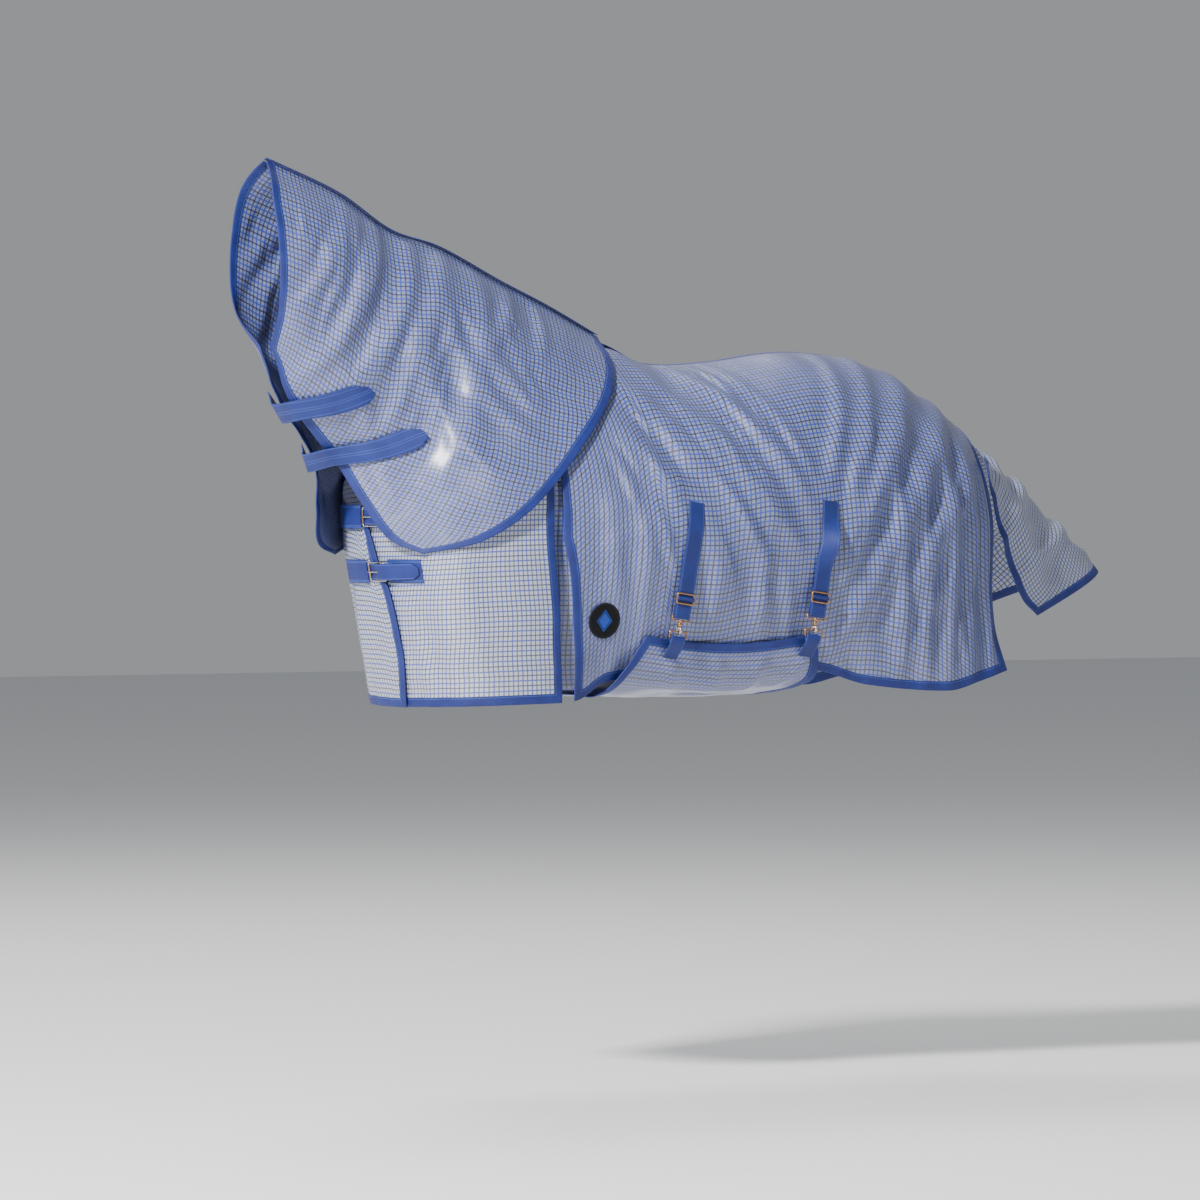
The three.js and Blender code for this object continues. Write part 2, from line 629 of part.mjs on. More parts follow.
/** Rounded rectangle ring lying in the frame's X and Y, centred on (0, 0). */
function frameRing(length, width, bar, thickness) {
  const outline = (path, l, w, r) => {
    path.moveTo(-l / 2 + r, -w / 2);
    path.lineTo(l / 2 - r, -w / 2);
    path.absarc(l / 2 - r, -w / 2 + r, r, -Math.PI / 2, 0, false);
    path.lineTo(l / 2, w / 2 - r);
    path.absarc(l / 2 - r, w / 2 - r, r, 0, Math.PI / 2, false);
    path.lineTo(-l / 2 + r, w / 2);
    path.absarc(-l / 2 + r, w / 2 - r, r, Math.PI / 2, Math.PI, false);
    path.lineTo(-l / 2, -w / 2 + r);
    path.absarc(-l / 2 + r, -w / 2 + r, r, Math.PI, 1.5 * Math.PI, false);
    return path;
  };
  const shape = outline(new THREE.Shape(), length, width, bar + 0.8);
  shape.holes.push(outline(new THREE.Path(), length - 2 * bar, width - 2 * bar, 0.8));
  return new THREE.ExtrudeGeometry(shape, { depth: thickness, bevelEnabled: false, curveSegments: 3 })
    .translate(0, 0, -thickness / 2);
}

const box = (x, y, z, cx, cy, cz) => new THREE.BoxGeometry(x, y, z).translate(cx, cy, cz);

// ---------------------------------------------------------------- chest straps

const HEEL_Y = -50;            // where a buckle's heel bar lies across the chest
const FRAME_LENGTH = 59;
const FRAME_WIDTH = 44;
const HEEL_RISE = 10;          // height of the heel bar over the left chest panel
const TIP_RISE = 13.8;         // height of the bar under the tongue's tip
const TONGUE_HALF = 1.5;
const PATCH_HEIGHT = 52;       // height of the webbing patches sewn under the straps
const BILLET_STEPS = 26;
const FRAME_SPAN = FRAME_LENGTH - 2 * WIRE;
const BILLET = [[114, 10.7], [60, 10.7], [20, 10.7], [5, 10.4], [-15, 12], [-32, 15.5], [-50, 17],
  [-66, 14.8], [-82, 11.4], [-110, 7.4], [-146, 7.2]];

/** A point over the chest at (y, z), rise mm out from the left chest panel. */
function overChest(y, z, rise) {
  const step = 4;
  const p = chestFront(y, z);
  const alongY = chestFront(y + step, z).sub(chestFront(y - step, z));
  const alongZ = chestFront(y, z + step).sub(chestFront(y, z - step));
  return p.addScaledVector(alongZ.cross(alongY).normalize(), rise);
}

/** A buckle's frame of reference: X from heel bar to tip bar, Y down the bars, Z out of the chest. */
function buckleFrame(z) {
  const heel = overChest(HEEL_Y, z, 0);
  const along = overChest(HEEL_Y + FRAME_SPAN, z, 0).sub(heel).normalize();
  const up = overChest(HEEL_Y, z + 10, 0).sub(overChest(HEEL_Y, z - 10, 0)).normalize();
  const out = up.clone().cross(along).normalize();
  const matrix = new THREE.Matrix4().makeBasis(along, out.clone().cross(along), out);
  return matrix.setPosition(heel);
}

/** Flat strip over the chest between two distances y, at one rise. */
function chestPatch(fromY, toY, z, height, rise, thickness) {
  const surface = (u, v) => overChest(lerp(fromY, toY, u), z + (v - 0.5) * height, rise);
  return sheet(surface, 5, 1, thickness);
}

/** Profile drawn in X and Z of a buckle's frame, given width along Y. */
function buckleProfile(shape, width) {
  const geometry = new THREE.ExtrudeGeometry(shape, { depth: width, bevelEnabled: false, curveSegments: 6 });
  return geometry.translate(0, 0, -width / 2).rotateX(Math.PI / 2);
}

function tongueShape() {
  const ring = 4.2;
  const shape = new THREE.Shape();
  shape.moveTo(0, HEEL_RISE + ring);
  shape.absarc(0, HEEL_RISE, ring, Math.PI / 2, 2 * Math.PI + 0.3, false);
  shape.lineTo(58, TIP_RISE + WIRE + 0.5);
  shape.lineTo(60.5, TIP_RISE + WIRE + 0.5 + TONGUE_HALF);
  shape.lineTo(58, TIP_RISE + WIRE + 0.5 + 2 * TONGUE_HALF);
  shape.closePath();
  shape.holes.push(new THREE.Path().absarc(0, HEEL_RISE, 2.6, 0, 2 * Math.PI, true));
  return shape;
}

function chapeShape() {
  const ring = 4.4;
  const tail = -24;
  const under = HEEL_RISE - ring;
  const turn = 1.2 * Math.PI;
  const shape = new THREE.Shape();
  shape.moveTo(tail, under);
  shape.lineTo(0, under);
  shape.absarc(0, HEEL_RISE, ring, -Math.PI / 2, turn, false);
  shape.lineTo(tail, under + 1.8);
  shape.closePath();
  shape.holes.push(new THREE.Path().absarc(0, HEEL_RISE, 2.7, 0, 2 * Math.PI, true));
  return shape;
}

for (const [name, z] of Object.entries(CHEST_STRAP_HEIGHTS)) {
  const frame = buckleFrame(z);
  const tilt = -Math.atan2(TIP_RISE - HEEL_RISE, FRAME_SPAN);
  const ring = frameRing(FRAME_LENGTH, FRAME_WIDTH, 2 * WIRE, 2 * WIRE)
    .translate(FRAME_SPAN / 2, 0, 0).rotateY(tilt).translate(0, 0, HEEL_RISE);
  add(`${name}_buckle_frame`, ring, finishes.brass, frame);
  add(`${name}_buckle_tongue`, buckleProfile(tongueShape(), 2 * TONGUE_HALF), finishes.steel, frame);

  const slot = box(12, 6.4, 12, 1.5, 0, HEEL_RISE + 0.5);
  const chape = cut(buckleProfile(chapeShape(), CHEST_STRAP_WIDTH), slot);
  add(`${name}_buckle_chape`, chape, finishes.tape, frame);

  const ends = [-0.5, 0.5].map((half) => new THREE.CatmullRomCurve3(
    BILLET.map(([y, rise]) => overChest(y, z + half * CHEST_STRAP_WIDTH, rise)),
  ));
  const between = (u, v) => ends[0].getPointAt(u).lerp(ends[1].getPointAt(u), v);
  const strip = sheet(between, BILLET_STEPS, 1, WEB);
  const tongueSlot = box(42, 5, 24, 16, 0, 14).applyMatrix4(frame);
  const holes = [-45, -75].map((x) => new THREE.CylinderGeometry(2.6, 2.6, 20, 8)
    .rotateX(Math.PI / 2).translate(x, 0, 7).applyMatrix4(frame));
  add(`${name}_chest_billet`, cut(strip, tongueSlot, ...holes), finishes.tape);
  add(`${name}_billet_base`, chestPatch(16, 118, z, PATCH_HEIGHT, 13.6, 2), finishes.tape);
  add(`${name}_chape_base`, chestPatch(-57, -152, z, PATCH_HEIGHT, 3.3, 2.2), finishes.tape);
}

// ---------------------------------------------------------------- surcingles and snap hooks

const EYE_SLOT = 5.6;
const EYE_BAR = 3.2;
const EYE_LENGTH = EYE_SLOT + 2 * EYE_BAR;
const SLIDER_AT = -45;         // distance of the slider above the eye
const SLIDER_LENGTH = 22;
const SLIDER_BAR = 3;
const SLIDER_RISE = 6.2;       // height of the slider's outer frame over the strap's middle
const WEB_STEPS = 38;
const HOOK_CENTRE = 25.5;      // distance of the hook's round below the eye
const HOOK_OUTER = 10;
const HOOK_INNER = 6.2;
const HOOK_WIDTH = 7;
const HOOK_ROUND = [152, 446];   // degrees of the hook's round, from straight down towards the outside
const GATE_ROUND = [98, 143];    // degrees that the gate closes; it hinges at the second
const GATE_EASE = 0.4;           // how much thinner than the hook the gate is on each side
const RING_LENGTH = 17;
const RING_BAR = 3;
const RING_PLAY = 1.4;           // how far the ring hangs clear of the bottom of the hook
const RING_AT = HOOK_CENTRE + HOOK_INNER - RING_PLAY - RING_BAR + RING_LENGTH / 2;
const WIDEST = -385;

/** A surcingle's frame: X down the taut strap from the eye, Y along the horse, Z out of the cloth. */
function surcingleFrame({ top, end }) {
  const upper = overSide(lerp(top[0], end[0], 0.3), WIDEST, 5);
  const eye = overSide(...end, 24);
  const down = eye.clone().sub(upper).normalize();
  const out = down.clone().cross(new THREE.Vector3(1, 0, 0)).normalize();
  const matrix = new THREE.Matrix4().makeBasis(down, out.clone().cross(down), out);
  return matrix.setPosition(eye);
}

/** A point off the left side at (x, z), standing off the cloth. */
function overSide(x, z, offset) {
  return new THREE.Vector3().setFromMatrixPosition(leftSideFrame(x, z, offset));
}

/** Sector of the hook's round between two angles, in X (down) and Z (out), given width along Y. */
function hookSector(from, to, inner, outer, width) {
  const shape = new THREE.Shape();
  shape.absarc(0, 0, outer, from, to, false);
  shape.absarc(0, 0, inner, to, from, true);
  const geometry = new THREE.ExtrudeGeometry(shape, { depth: width, bevelEnabled: false, curveSegments: 9 });
  return geometry.translate(0, 0, -width / 2).rotateX(Math.PI / 2).translate(HOOK_CENTRE, 0, 0);
}

/** Points round a bar at distance x, from one side (sign 1 is the outer side) to the other. */
function roundBar(x, radius, direction, sign) {
  const angles = [90, 60, 30, 0, -30, -60, -90].map(degrees);
  return angles.map((angle) => [
    x + direction * radius * Math.cos(angle),
    sign * radius * Math.sin(angle),
  ]);
}

for (const [name, place] of Object.entries(SURCINGLES)) {
  const frame = surcingleFrame(place);
  const local = ([x, rise]) => new THREE.Vector3(x, 0, rise).applyMatrix4(frame);
  const across = new THREE.Vector3().setFromMatrixColumn(frame, 1);

  const eyeTurn = roundBar(-(EYE_SLOT + EYE_BAR) / 2, 3.6, 1, 1);
  const front = [[-110, 0.4], [-75, 2.6], [-45, 2.6], [-15, 2.9]];
  const back = [[-15, -2.9], [-45, -2.6], [-60, -2.6]];
  const sewn = [[0, 4], [0.12, 4], [0.24, 4.4]].map(([t, offset]) => overSide(
    lerp(place.top[0], place.end[0], t),
    lerp(place.top[1], place.end[1], t),
    offset,
  ));
  const path = [...sewn, ...[...front, ...eyeTurn, ...back].map(local)];
  const web = webbing(path, across, SURCINGLE_WIDTH, WEB, WEB_STEPS);
  add(`${name}_surcingle_web`, web, finishes.tape);

  const post = SLIDER_BAR;
  const reach = SURCINGLE_WIDTH / 2 + 1 + post / 2;
  const slider = join(
    frameRing(SLIDER_LENGTH, 2 * reach + post, 2.6, SLIDER_BAR).translate(SLIDER_AT, 0, SLIDER_RISE),
    box(3, 2 * reach + post, 2.2, SLIDER_AT, 0, 0),
    box(3, post, 7, SLIDER_AT, reach, 2.4),
    box(3, post, 7, SLIDER_AT, -reach, 2.4),
    box(SLIDER_LENGTH, 2.2, 2, SLIDER_AT, reach, 5.8),
    box(SLIDER_LENGTH, 2.2, 2, SLIDER_AT, -reach, 5.8),
    box(2.4, 2 * reach, 2, SLIDER_AT, 0, SLIDER_RISE),
  );
  add(`${name}_slider`, slider, finishes.brass, frame);

  const shank = new THREE.CylinderGeometry(2.4, 2.4, 13, 12).rotateZ(Math.PI / 2).translate(15, 0, 0);
  const head = new THREE.CylinderGeometry(3.9, 3.9, 2, 12).rotateZ(Math.PI / 2).translate(22, 0, 0);
  const eye = join(
    frameRing(EYE_LENGTH, SURCINGLE_WIDTH + 9, EYE_BAR, EYE_BAR),
    box(4, 12, 6, 6.8, 0, 0),
    shank,
    head,
  );
  add(`${name}_snap_eye`, eye, finishes.brass, frame);

  const bore = new THREE.CylinderGeometry(2.9, 2.9, 12, 12).rotateZ(Math.PI / 2).translate(14, 0, 0);
  const hook = cut(
    join(
      hookSector(...HOOK_ROUND.map(degrees), HOOK_INNER, HOOK_OUTER, HOOK_WIDTH),
      box(8, HOOK_WIDTH, 10, 13.6, 0, 0),
    ),
    bore,
  );
  add(`${name}_snap_hook`, hook, finishes.brass, frame);
  const gate = hookSector(
    ...GATE_ROUND.map(degrees),
    HOOK_INNER + GATE_EASE,
    HOOK_OUTER - GATE_EASE,
    HOOK_WIDTH - 2,
  );
  add(`${name}_snap_gate`, gate, finishes.steel, frame);

  const ring = frameRing(RING_LENGTH, SURCINGLE_WIDTH + 9, RING_BAR, RING_BAR).translate(RING_AT, 0, 0);
  add(`${name}_wrap_ring`, ring, finishes.brass, frame);

  const tabBar = RING_AT + (RING_LENGTH - RING_BAR) / 2;
  const tabTurn = roundBar(tabBar, 3, -1, -1);
  const sewnEnd = overSide(local([tabBar, 0]).x, -648, 21);
  const tab = [[tabBar + 12, -1.6], ...tabTurn, [tabBar + 12, 1.6]].map(local);
  const tabWeb = webbing([...tab, sewnEnd], across, SURCINGLE_WIDTH - 4, 1.6, TAB_STEPS + 4);
  add(`${name}_wrap_tab`, tabWeb, finishes.tape);
}

export default rug;
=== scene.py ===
"""Looks of a turnout rug: coated check mesh, folded bindings, webbing straps and metal fittings.

The shapes repeat the frame's own formulas in millimetres, with the cloth's folds laid over them, and
are turned to metres as each mesh is made. The horse would face -X with its left side towards -Y.
"""

import logging
import math
from dataclasses import dataclass, field, replace
from enum import Enum
from typing import Callable

import bpy
import numpy as np
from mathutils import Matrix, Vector


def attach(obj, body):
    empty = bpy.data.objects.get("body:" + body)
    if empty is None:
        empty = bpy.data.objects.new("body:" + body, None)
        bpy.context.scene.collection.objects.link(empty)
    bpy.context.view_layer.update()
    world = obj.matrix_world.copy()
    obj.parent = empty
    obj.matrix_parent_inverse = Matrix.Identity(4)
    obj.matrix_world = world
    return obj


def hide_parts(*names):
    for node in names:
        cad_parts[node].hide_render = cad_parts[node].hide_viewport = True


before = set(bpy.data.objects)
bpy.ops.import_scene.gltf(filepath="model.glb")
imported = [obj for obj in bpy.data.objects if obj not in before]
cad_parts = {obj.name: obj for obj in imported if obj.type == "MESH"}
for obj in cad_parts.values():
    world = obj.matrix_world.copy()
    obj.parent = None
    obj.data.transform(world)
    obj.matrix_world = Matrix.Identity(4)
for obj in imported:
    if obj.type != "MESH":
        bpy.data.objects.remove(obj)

Array = np.ndarray
Thing = bpy.types.Object
Material = bpy.types.Material
Socket = bpy.types.NodeSocket
Surface = Callable[[Array, Array], Array]
Pairs = tuple[tuple[float, ...], ...]
Triple = tuple[float, float, float]
Guides = tuple[tuple[Pairs, Pairs], ...]

MM = 0.001                     # metres in a millimetre
SEED = 11                      # start of every random draw
CLOTH = 1.2                    # thicknesses in millimetres
SEAM_TAPE = 1.6
WEBBING = 2.2
RIGHT_LAP = 14                 # how far the right flank's folds lie behind the left's
log = logging.getLogger("rug")


# ---------------------------------------------------------------- curves


@dataclass(frozen=True)
class Knots:
    """A smooth function through a few knots, flat beyond its ends.

    Between two knots the value is the cubic Hermite blend of their heights and of the slopes that
    their neighbours give.
    """

    pairs: Pairs

    def __call__(self, x: Array) -> Array:
        """Value of the function at x, for a whole array at once."""
        xs, ys = np.array(self.pairs, float).T
        order = np.arange(len(xs))
        before, after = np.maximum(order - 1, 0), np.minimum(order + 1, len(xs) - 1)
        slopes = (ys[after] - ys[before]) / (xs[after] - xs[before])
        at = np.clip(x, xs[0], xs[-1])
        end = np.clip(np.searchsorted(xs, at), 1, len(xs) - 1)
        run = xs[end] - xs[end - 1]
        t = (at - xs[end - 1]) / run
        rise = ys[end - 1] * (1 + 2 * t) * (1 - t) ** 2 + ys[end] * t * t * (3 - 2 * t)
        return rise + run * (slopes[end - 1] * t * (1 - t) ** 2 + slopes[end] * t * t * (t - 1))


def catmull(points: Array, at: Array) -> Array:
    """Centripetal Catmull-Rom curve.

    Each span is a cubic whose end tangents weigh the neighbouring chords by the square root of
    their lengths.

    Args:
        points: knots [k, 3], or [k, n, 3] for a curve of its own at each of n places.
        at: number of the span plus the share of the way along it, [n].

    Returns:
        Points [n, 3].
    """
    line = np.concatenate([2 * points[:1] - points[1:2], points, 2 * points[-1:] - points[-2:-1]])
    span = np.clip(np.floor(at).astype(int), 0, len(points) - 2)
    t = (at - span)[:, None]
    own = (np.arange(len(at)),) if line.ndim == 3 else ()
    p0, p1, p2, p3 = (line[(span + k, *own)] for k in range(4))
    chords = (np.linalg.norm(b - a, axis=1) for a, b in ((p0, p1), (p1, p2), (p2, p3)))
    gaps = [np.sqrt(np.maximum(chord, 1e-6))[:, None] for chord in chords]
    start = ((p1 - p0) / gaps[0] - (p2 - p0) / (gaps[0] + gaps[1]) + (p2 - p1) / gaps[1]) * gaps[1]
    end = ((p2 - p1) / gaps[1] - (p3 - p1) / (gaps[1] + gaps[2]) + (p3 - p2) / gaps[2]) * gaps[1]
    blend = p1 * (1 + 2 * t) * (1 - t) ** 2 + p2 * t * t * (3 - 2 * t)
    return blend + start * t * (1 - t) ** 2 + end * t * t * (t - 1)


class SpaceCurve:
    """A Catmull-Rom curve run through at even speed, from 0 to 1 of its length."""

    def __init__(self, points: Array | list) -> None:
        """Lays out a fine table of the curve and its length so far.

        Args:
            points: knots [k, 3] in millimetres.
        """
        knots = np.array(points, float)
        self.table = catmull(knots, np.linspace(0, len(knots) - 1, 80 * len(knots)))
        steps = np.linalg.norm(np.diff(self.table, axis=0), axis=1)
        self.lengths = np.concatenate([[0], np.cumsum(steps)])

    def __call__(self, t: Array) -> Array:
        """Points at shares t of the length, read off the table by straight steps."""
        at = np.clip(np.asarray(t, float), 0, 1) * self.lengths[-1]
        return np.stack([np.interp(at, self.lengths, self.table[:, k]) for k in range(3)], axis=-1)


def lerp(a: Array | float, b: Array | float, t: Array | float) -> Array:
    """Straight blend from a to b by t."""
    return a + (b - a) * t


def smooth(t: Array) -> Array:
    """The blend 3t^2 - 2t^3, held to 0..1."""
    held = np.clip(t, 0, 1)
    return held * held * (3 - 2 * held)


def unit(v: Array) -> Array:
    """Vectors brought to length one."""
    return v / np.maximum(np.linalg.norm(v, axis=-1, keepdims=True), 1e-12)


# ---------------------------------------------------------------- the rug's shape on the horse


@dataclass(frozen=True)
class RugShape:
    """The shape the cloth takes over back, flank, shoulder and chest, in millimetres.

    Above its widest line a section is a superellipse from the spine outwards; below it the cloth
    falls to the hem and tucks in by a power of the fall. The chest is a superellipse in plan.
    """

    spine: Knots = Knots(((-434, 66), (-300, 60), (-169, 46), (-54, 1), (107, 3), (268, 24), (375, 27),
                          (510, 9), (644, -47), (751, -115), (800, -168)))
    half: Knots = Knots(((-434, 275), (-200, 322), (0, 335), (200, 332), (400, 318), (600, 285),
                         (700, 243), (780, 206)))
    widest: Knots = Knots(((-434, -335), (0, -385), (400, -370), (800, -400)))
    tuck: Knots = Knots(((-434, 8), (-300, 60), (-100, 82), (150, 80), (400, 38), (600, -5),
                         (700, -32), (780, -50)))
    hem: Knots = Knots(((-434, -742), (-380, -742), (-300, -702), (0, -700), (241, -686), (369, -718),
                        (590, -736), (680, -718), (800, -688)))
    peak: Knots = Knots(((-434, 1), (-169, 1), (50, 0.25), (250, 0), (800, 0)))
    neckline: Knots = Knots(((-434, 0.27), (-340, 0.2), (-260, 0.1), (-190, 0)))
    reach: Knots = Knots(((-760, 252), (-690, 266), (-592, 287), (-480, 309), (-351, 330), (-120, 330)))
    slit_rear: Knots = Knots(((-760, -394), (-666, -397), (-531, -405), (-396, -414), (-306, -424),
                              (-240, -434)))
    slit_front: Knots = Knots(((-748, -413), (-666, -436), (-531, -444), (-396, -458), (-277, -456),
                               (-40, -444)))
    rear_edge: Knots = Knots(((0, 792), (0.15, 770), (0.5, 764), (0.8, 752), (1, 776)))
    chest_hem: Knots = Knots(((-0.3, -764), (0.2, -757), (1, -748)))
    chest_neckline: Knots = Knots(((-0.3, -345), (0, -338), (0.4, -262), (0.75, -140), (1, -30)))
    chest_line: float = -434.0
    roundness: float = 2.65

    def flank(self, x: Array, s: Array, side: float) -> Array:
        """Point of the flank at station x; s runs from the spine (0) to the hem (1)."""
        top, widest, half, peak = self.spine(x), self.widest(x), self.half(x), self.peak(x)
        height = np.clip(np.cos(np.clip(s * 2, 0, 1) * np.pi / 2), 0, 1)
        out = (1 - height ** lerp(2, 1.8, peak)) ** (1 / lerp(2, 1.3, peak))
        fall = np.clip(s * 2 - 1, 0, None)
        y = np.where(s < 0.5, half * out, half - self.tuck(x) * fall**1.7)
        z = np.where(s < 0.5, widest + (top - widest) * height, lerp(widest, self.hem(x), fall))
        return np.stack([np.broadcast_to(x, y.shape), side * y, z], axis=-1)

    def share_at(self, x: Array, z: Array) -> Array:
        """Section parameter at which the flank reaches height z at station x."""
        top, widest = self.spine(x), self.widest(x)
        above = np.arccos(np.clip((z - widest) / (top - widest), 0, 1)) / np.pi
        return np.where(z > widest, above, 0.5 + 0.5 * (widest - z) / (widest - self.hem(x)))

    def shoulder(self, z: Array) -> Array:
        """Half-width of the flank where it turns into the chest, at height z."""
        x = np.full(np.shape(z), self.chest_line)
        return np.abs(self.flank(x, self.share_at(x, z), 1)[..., 1])

    def chest(self, turn: Array, z: Array, side: float) -> Array:
        """Point on the chest; turn runs from the front centre (0) to the flank (1)."""
        angle, power = np.abs(turn) * np.pi / 2, 2 / self.roundness
        x = self.chest_line - self.reach(z) * np.clip(np.cos(angle), 0, 1) ** power
        y = side * np.sign(turn) * self.shoulder(z) * np.sin(angle) ** power
        return np.stack([x, y, np.broadcast_to(z, x.shape)], axis=-1)

    def chest_front(self, y: Array, z: Array) -> Array:
        """Point on the chest by its distance y from the centre plane."""
        away = np.clip(np.abs(y) / self.shoulder(z), 0, 1)
        x = self.chest_line - self.reach(z) * (1 - away**self.roundness) ** (1 / self.roundness)
        return np.stack([x, np.broadcast_to(y, x.shape), np.broadcast_to(z, x.shape)], axis=-1)

    def over_chest(self, y: Array, z: Array, rise: Array) -> Array:
        """Point over the chest, rise out from it along its normal."""
        y, z, rise = np.broadcast_arrays(np.asarray(y, float), z, rise)
        along = self.chest_front(y + 4, z) - self.chest_front(y - 4, z)
        up = self.chest_front(y, z + 4) - self.chest_front(y, z - 4)
        return self.chest_front(y, z) + unit(np.cross(up, along)) * rise[..., None]

    def side(self, x: Array, z: Array, side: float) -> Array:
        """Point of the rug's side at station x and height z, on the flank or round the shoulder."""
        x, z = np.broadcast_arrays(np.asarray(x, float), np.asarray(z, float))
        flank = np.abs(self.flank(x, self.share_at(x, z), 1)[..., 1])
        forward = np.clip((self.chest_line - x) / self.reach(z), 0, 1)
        chest = self.shoulder(z) * (1 - forward**self.roundness) ** (1 / self.roundness)
        return np.stack([x, side * np.where(x >= self.chest_line, flank, chest), z], axis=-1)


SHAPE = RugShape()


# ---------------------------------------------------------------- folds


@dataclass(frozen=True)
class Fold:
    """One fold of the cloth: a ridge with a valley beside it, between two places of a flat layout."""

    start: tuple[float, float]
    end: tuple[float, float]
    width: float
    height: float
    bow: float = 0.0

    def rise(self, a: Array, b: Array) -> Array:
        """Height of the fold at layout places (a, b).

        A crisp crest across the fold, bowed sideways, that falls away by an exponential of the
        distance from it, less a wider shallow bell curve beside it, and swelling to the middle of its
        length.
        """
        run = np.subtract(self.end, self.start)
        length = math.hypot(*run)
        da, db = a - self.start[0], b - self.start[1]
        t = (da * run[0] + db * run[1]) / length**2
        held = np.clip(t, 0, 1)
        beyond = (t - held) * length
        across = (da * run[1] - db * run[0]) / length + self.bow * 4 * held * (1 - held)
        blunt = 0.3 * self.width
        away = np.sqrt(across**2 + beyond**2 + blunt**2) - blunt
        ridge = np.exp(-((away / (0.9 * self.width)) ** 1.25))
        valley = np.exp(-(((across - 1.7 * self.width) ** 2 + beyond**2) / (1.3 * self.width) ** 2))
        return self.height * (0.3 + 0.7 * np.sin(np.pi * held)) * (ridge - 0.45 * valley)


@dataclass(frozen=True)
class Drape:
    """All the folds of one panel, with a soft unevenness, held in where something lies on the cloth."""

    folds: tuple[Fold, ...]
    seed: int
    unevenness: float = 1.6
    calm: Pairs = ()
    most: float = 20.0
    depth: float = 1.7

    def rise(self, a: Array, b: Array) -> Array:
        """Height off the plain shape at layout places (a, b).

        The folds, deepened by one factor, are added to a sum of seeded sine waves of 70 to 420 mm;
        round each calm place the sum dies away, and it is eased so that it never passes the most
        allowed.
        """
        total = self.depth * sum((f.rise(a, b) for f in self.folds), np.zeros(np.shape(a)))
        dice = np.random.default_rng(SEED + self.seed)
        for length in np.geomspace(70, 420, 9):
            turn, shift = dice.uniform(0, 2 * np.pi, 2)
            wave = np.sin((a * math.cos(turn) + b * math.sin(turn)) * 2 * np.pi / length + shift)
            total = total + self.unevenness * (length / 420) ** 0.7 * wave
        for x, z, radius in self.calm:
            total = total * (1 - np.exp(-(((a - x) ** 2 + (b - z) ** 2) / radius**2)))
        return self.most * np.tanh(total / self.most)


def small_folds(seed: int, count: int, lines: Guides, height: float = 4.0) -> tuple[Fold, ...]:
    """Short sharp creases that follow the run of the long folds.

    Each crease starts at a seeded place between two guide lines and runs a part of the way along the
    blend of their directions.

    Args:
        seed: number that the places are drawn with.
        count: how many creases between each pair of guide lines.
        lines: pairs of guide lines, each a start and an end in the layout.
        height: height of a usual crease in millimetres.

    Returns:
        The creases.
    """
    dice = np.random.default_rng(SEED + seed)
    made = []
    for first, second in lines:
        for _ in range(count):
            share, start, reach = dice.uniform(0, 1), dice.uniform(0.02, 0.75), dice.uniform(0.16, 0.34)
            a = lerp(np.array(first[0], float), np.array(second[0], float), share)
            b = lerp(np.array(first[1], float), np.array(second[1], float), share)
            ends = lerp(a, b, start), lerp(a, b, min(start + reach, 1.0)) + dice.uniform(-12, 12, 2)
            width, share_of_height, bow = (dice.uniform(*span) for span in ((6.5, 12), (0.5, 1.1), (-9, 9)))
            made.append(Fold(tuple(ends[0]), tuple(ends[1]), width, height * share_of_height, bow))
    return tuple(made)


Layout = Callable[[Array, Array, Array], tuple[Array, Array]]


def side_layout(p: Array, u: Array, v: Array) -> tuple[Array, Array]:
    """Layout by station and height, for cloth on the horse's sides."""
    return p[..., 0], p[..., 2]


def front_layout(p: Array, u: Array, v: Array) -> tuple[Array, Array]:
    """Layout by distance from the centre plane and height, for cloth on the chest."""
    return p[..., 1], p[..., 2]


def wrap_layout(p: Array, u: Array, v: Array) -> tuple[Array, Array]:
    """Layout by station and run under the belly, 650 mm in all, for the wrap."""
    return p[..., 0], v * 650


def flap_layout(p: Array, u: Array, v: Array) -> tuple[Array, Array]:
    """Layout by distance from the centre plane and run from the dock, 540 mm in all, for the flap."""
    return p[..., 1], v * 540


@dataclass
class FoldedCloth:
    """A plain surface with a drape laid over it along its outward normal."""

    plain: Surface
    drape: Drape
    layout: Layout
    core: tuple[float | None, float]
    held_top: float = 0.0
    outward: float = field(init=False)

    def __post_init__(self) -> None:
        """Finds which way along du x dv is outwards, by a vote of places all over the surface."""
        u, v = (g.ravel() for g in np.meshgrid(np.linspace(0.1, 0.9, 9), np.linspace(0.1, 0.9, 9)))
        p = self.plain(u, v)
        x = p[:, 0] if self.core[0] is None else np.full(len(p), self.core[0])
        core = np.stack([x, np.zeros(len(p)), np.full(len(p), self.core[1])], axis=-1)
        self.outward = float(np.sign(np.mean(np.sum(self.bare_normal(u, v) * unit(p - core), axis=-1))))

    def bare_normal(self, u: Array, v: Array) -> Array:
        """Unit du x dv of the plain surface, by small central steps."""
        return surface_normal(self.plain, u, v)

    def __call__(self, u: Array, v: Array) -> Array:
        """Points of the draped cloth."""
        p = self.plain(u, v)
        rise = self.drape.rise(*self.layout(p, u, v))
        if self.held_top:
            rise = rise * smooth(v / self.held_top)
        return p + self.bare_normal(u, v) * (self.outward * rise)[..., None]


def surface_normal(surface: Surface, u: Array, v: Array, step: float = 1e-3) -> Array:
    """Unit normal along du x dv, from points a small step to each side, held inside the surface."""
    along = surface(np.minimum(u + step, 1), v) - surface(np.maximum(u - step, 0), v)
    down = surface(u, np.minimum(v + step, 1)) - surface(u, np.maximum(v - step, 0))
    return unit(np.cross(along, down))


# ---------------------------------------------------------------- meshes


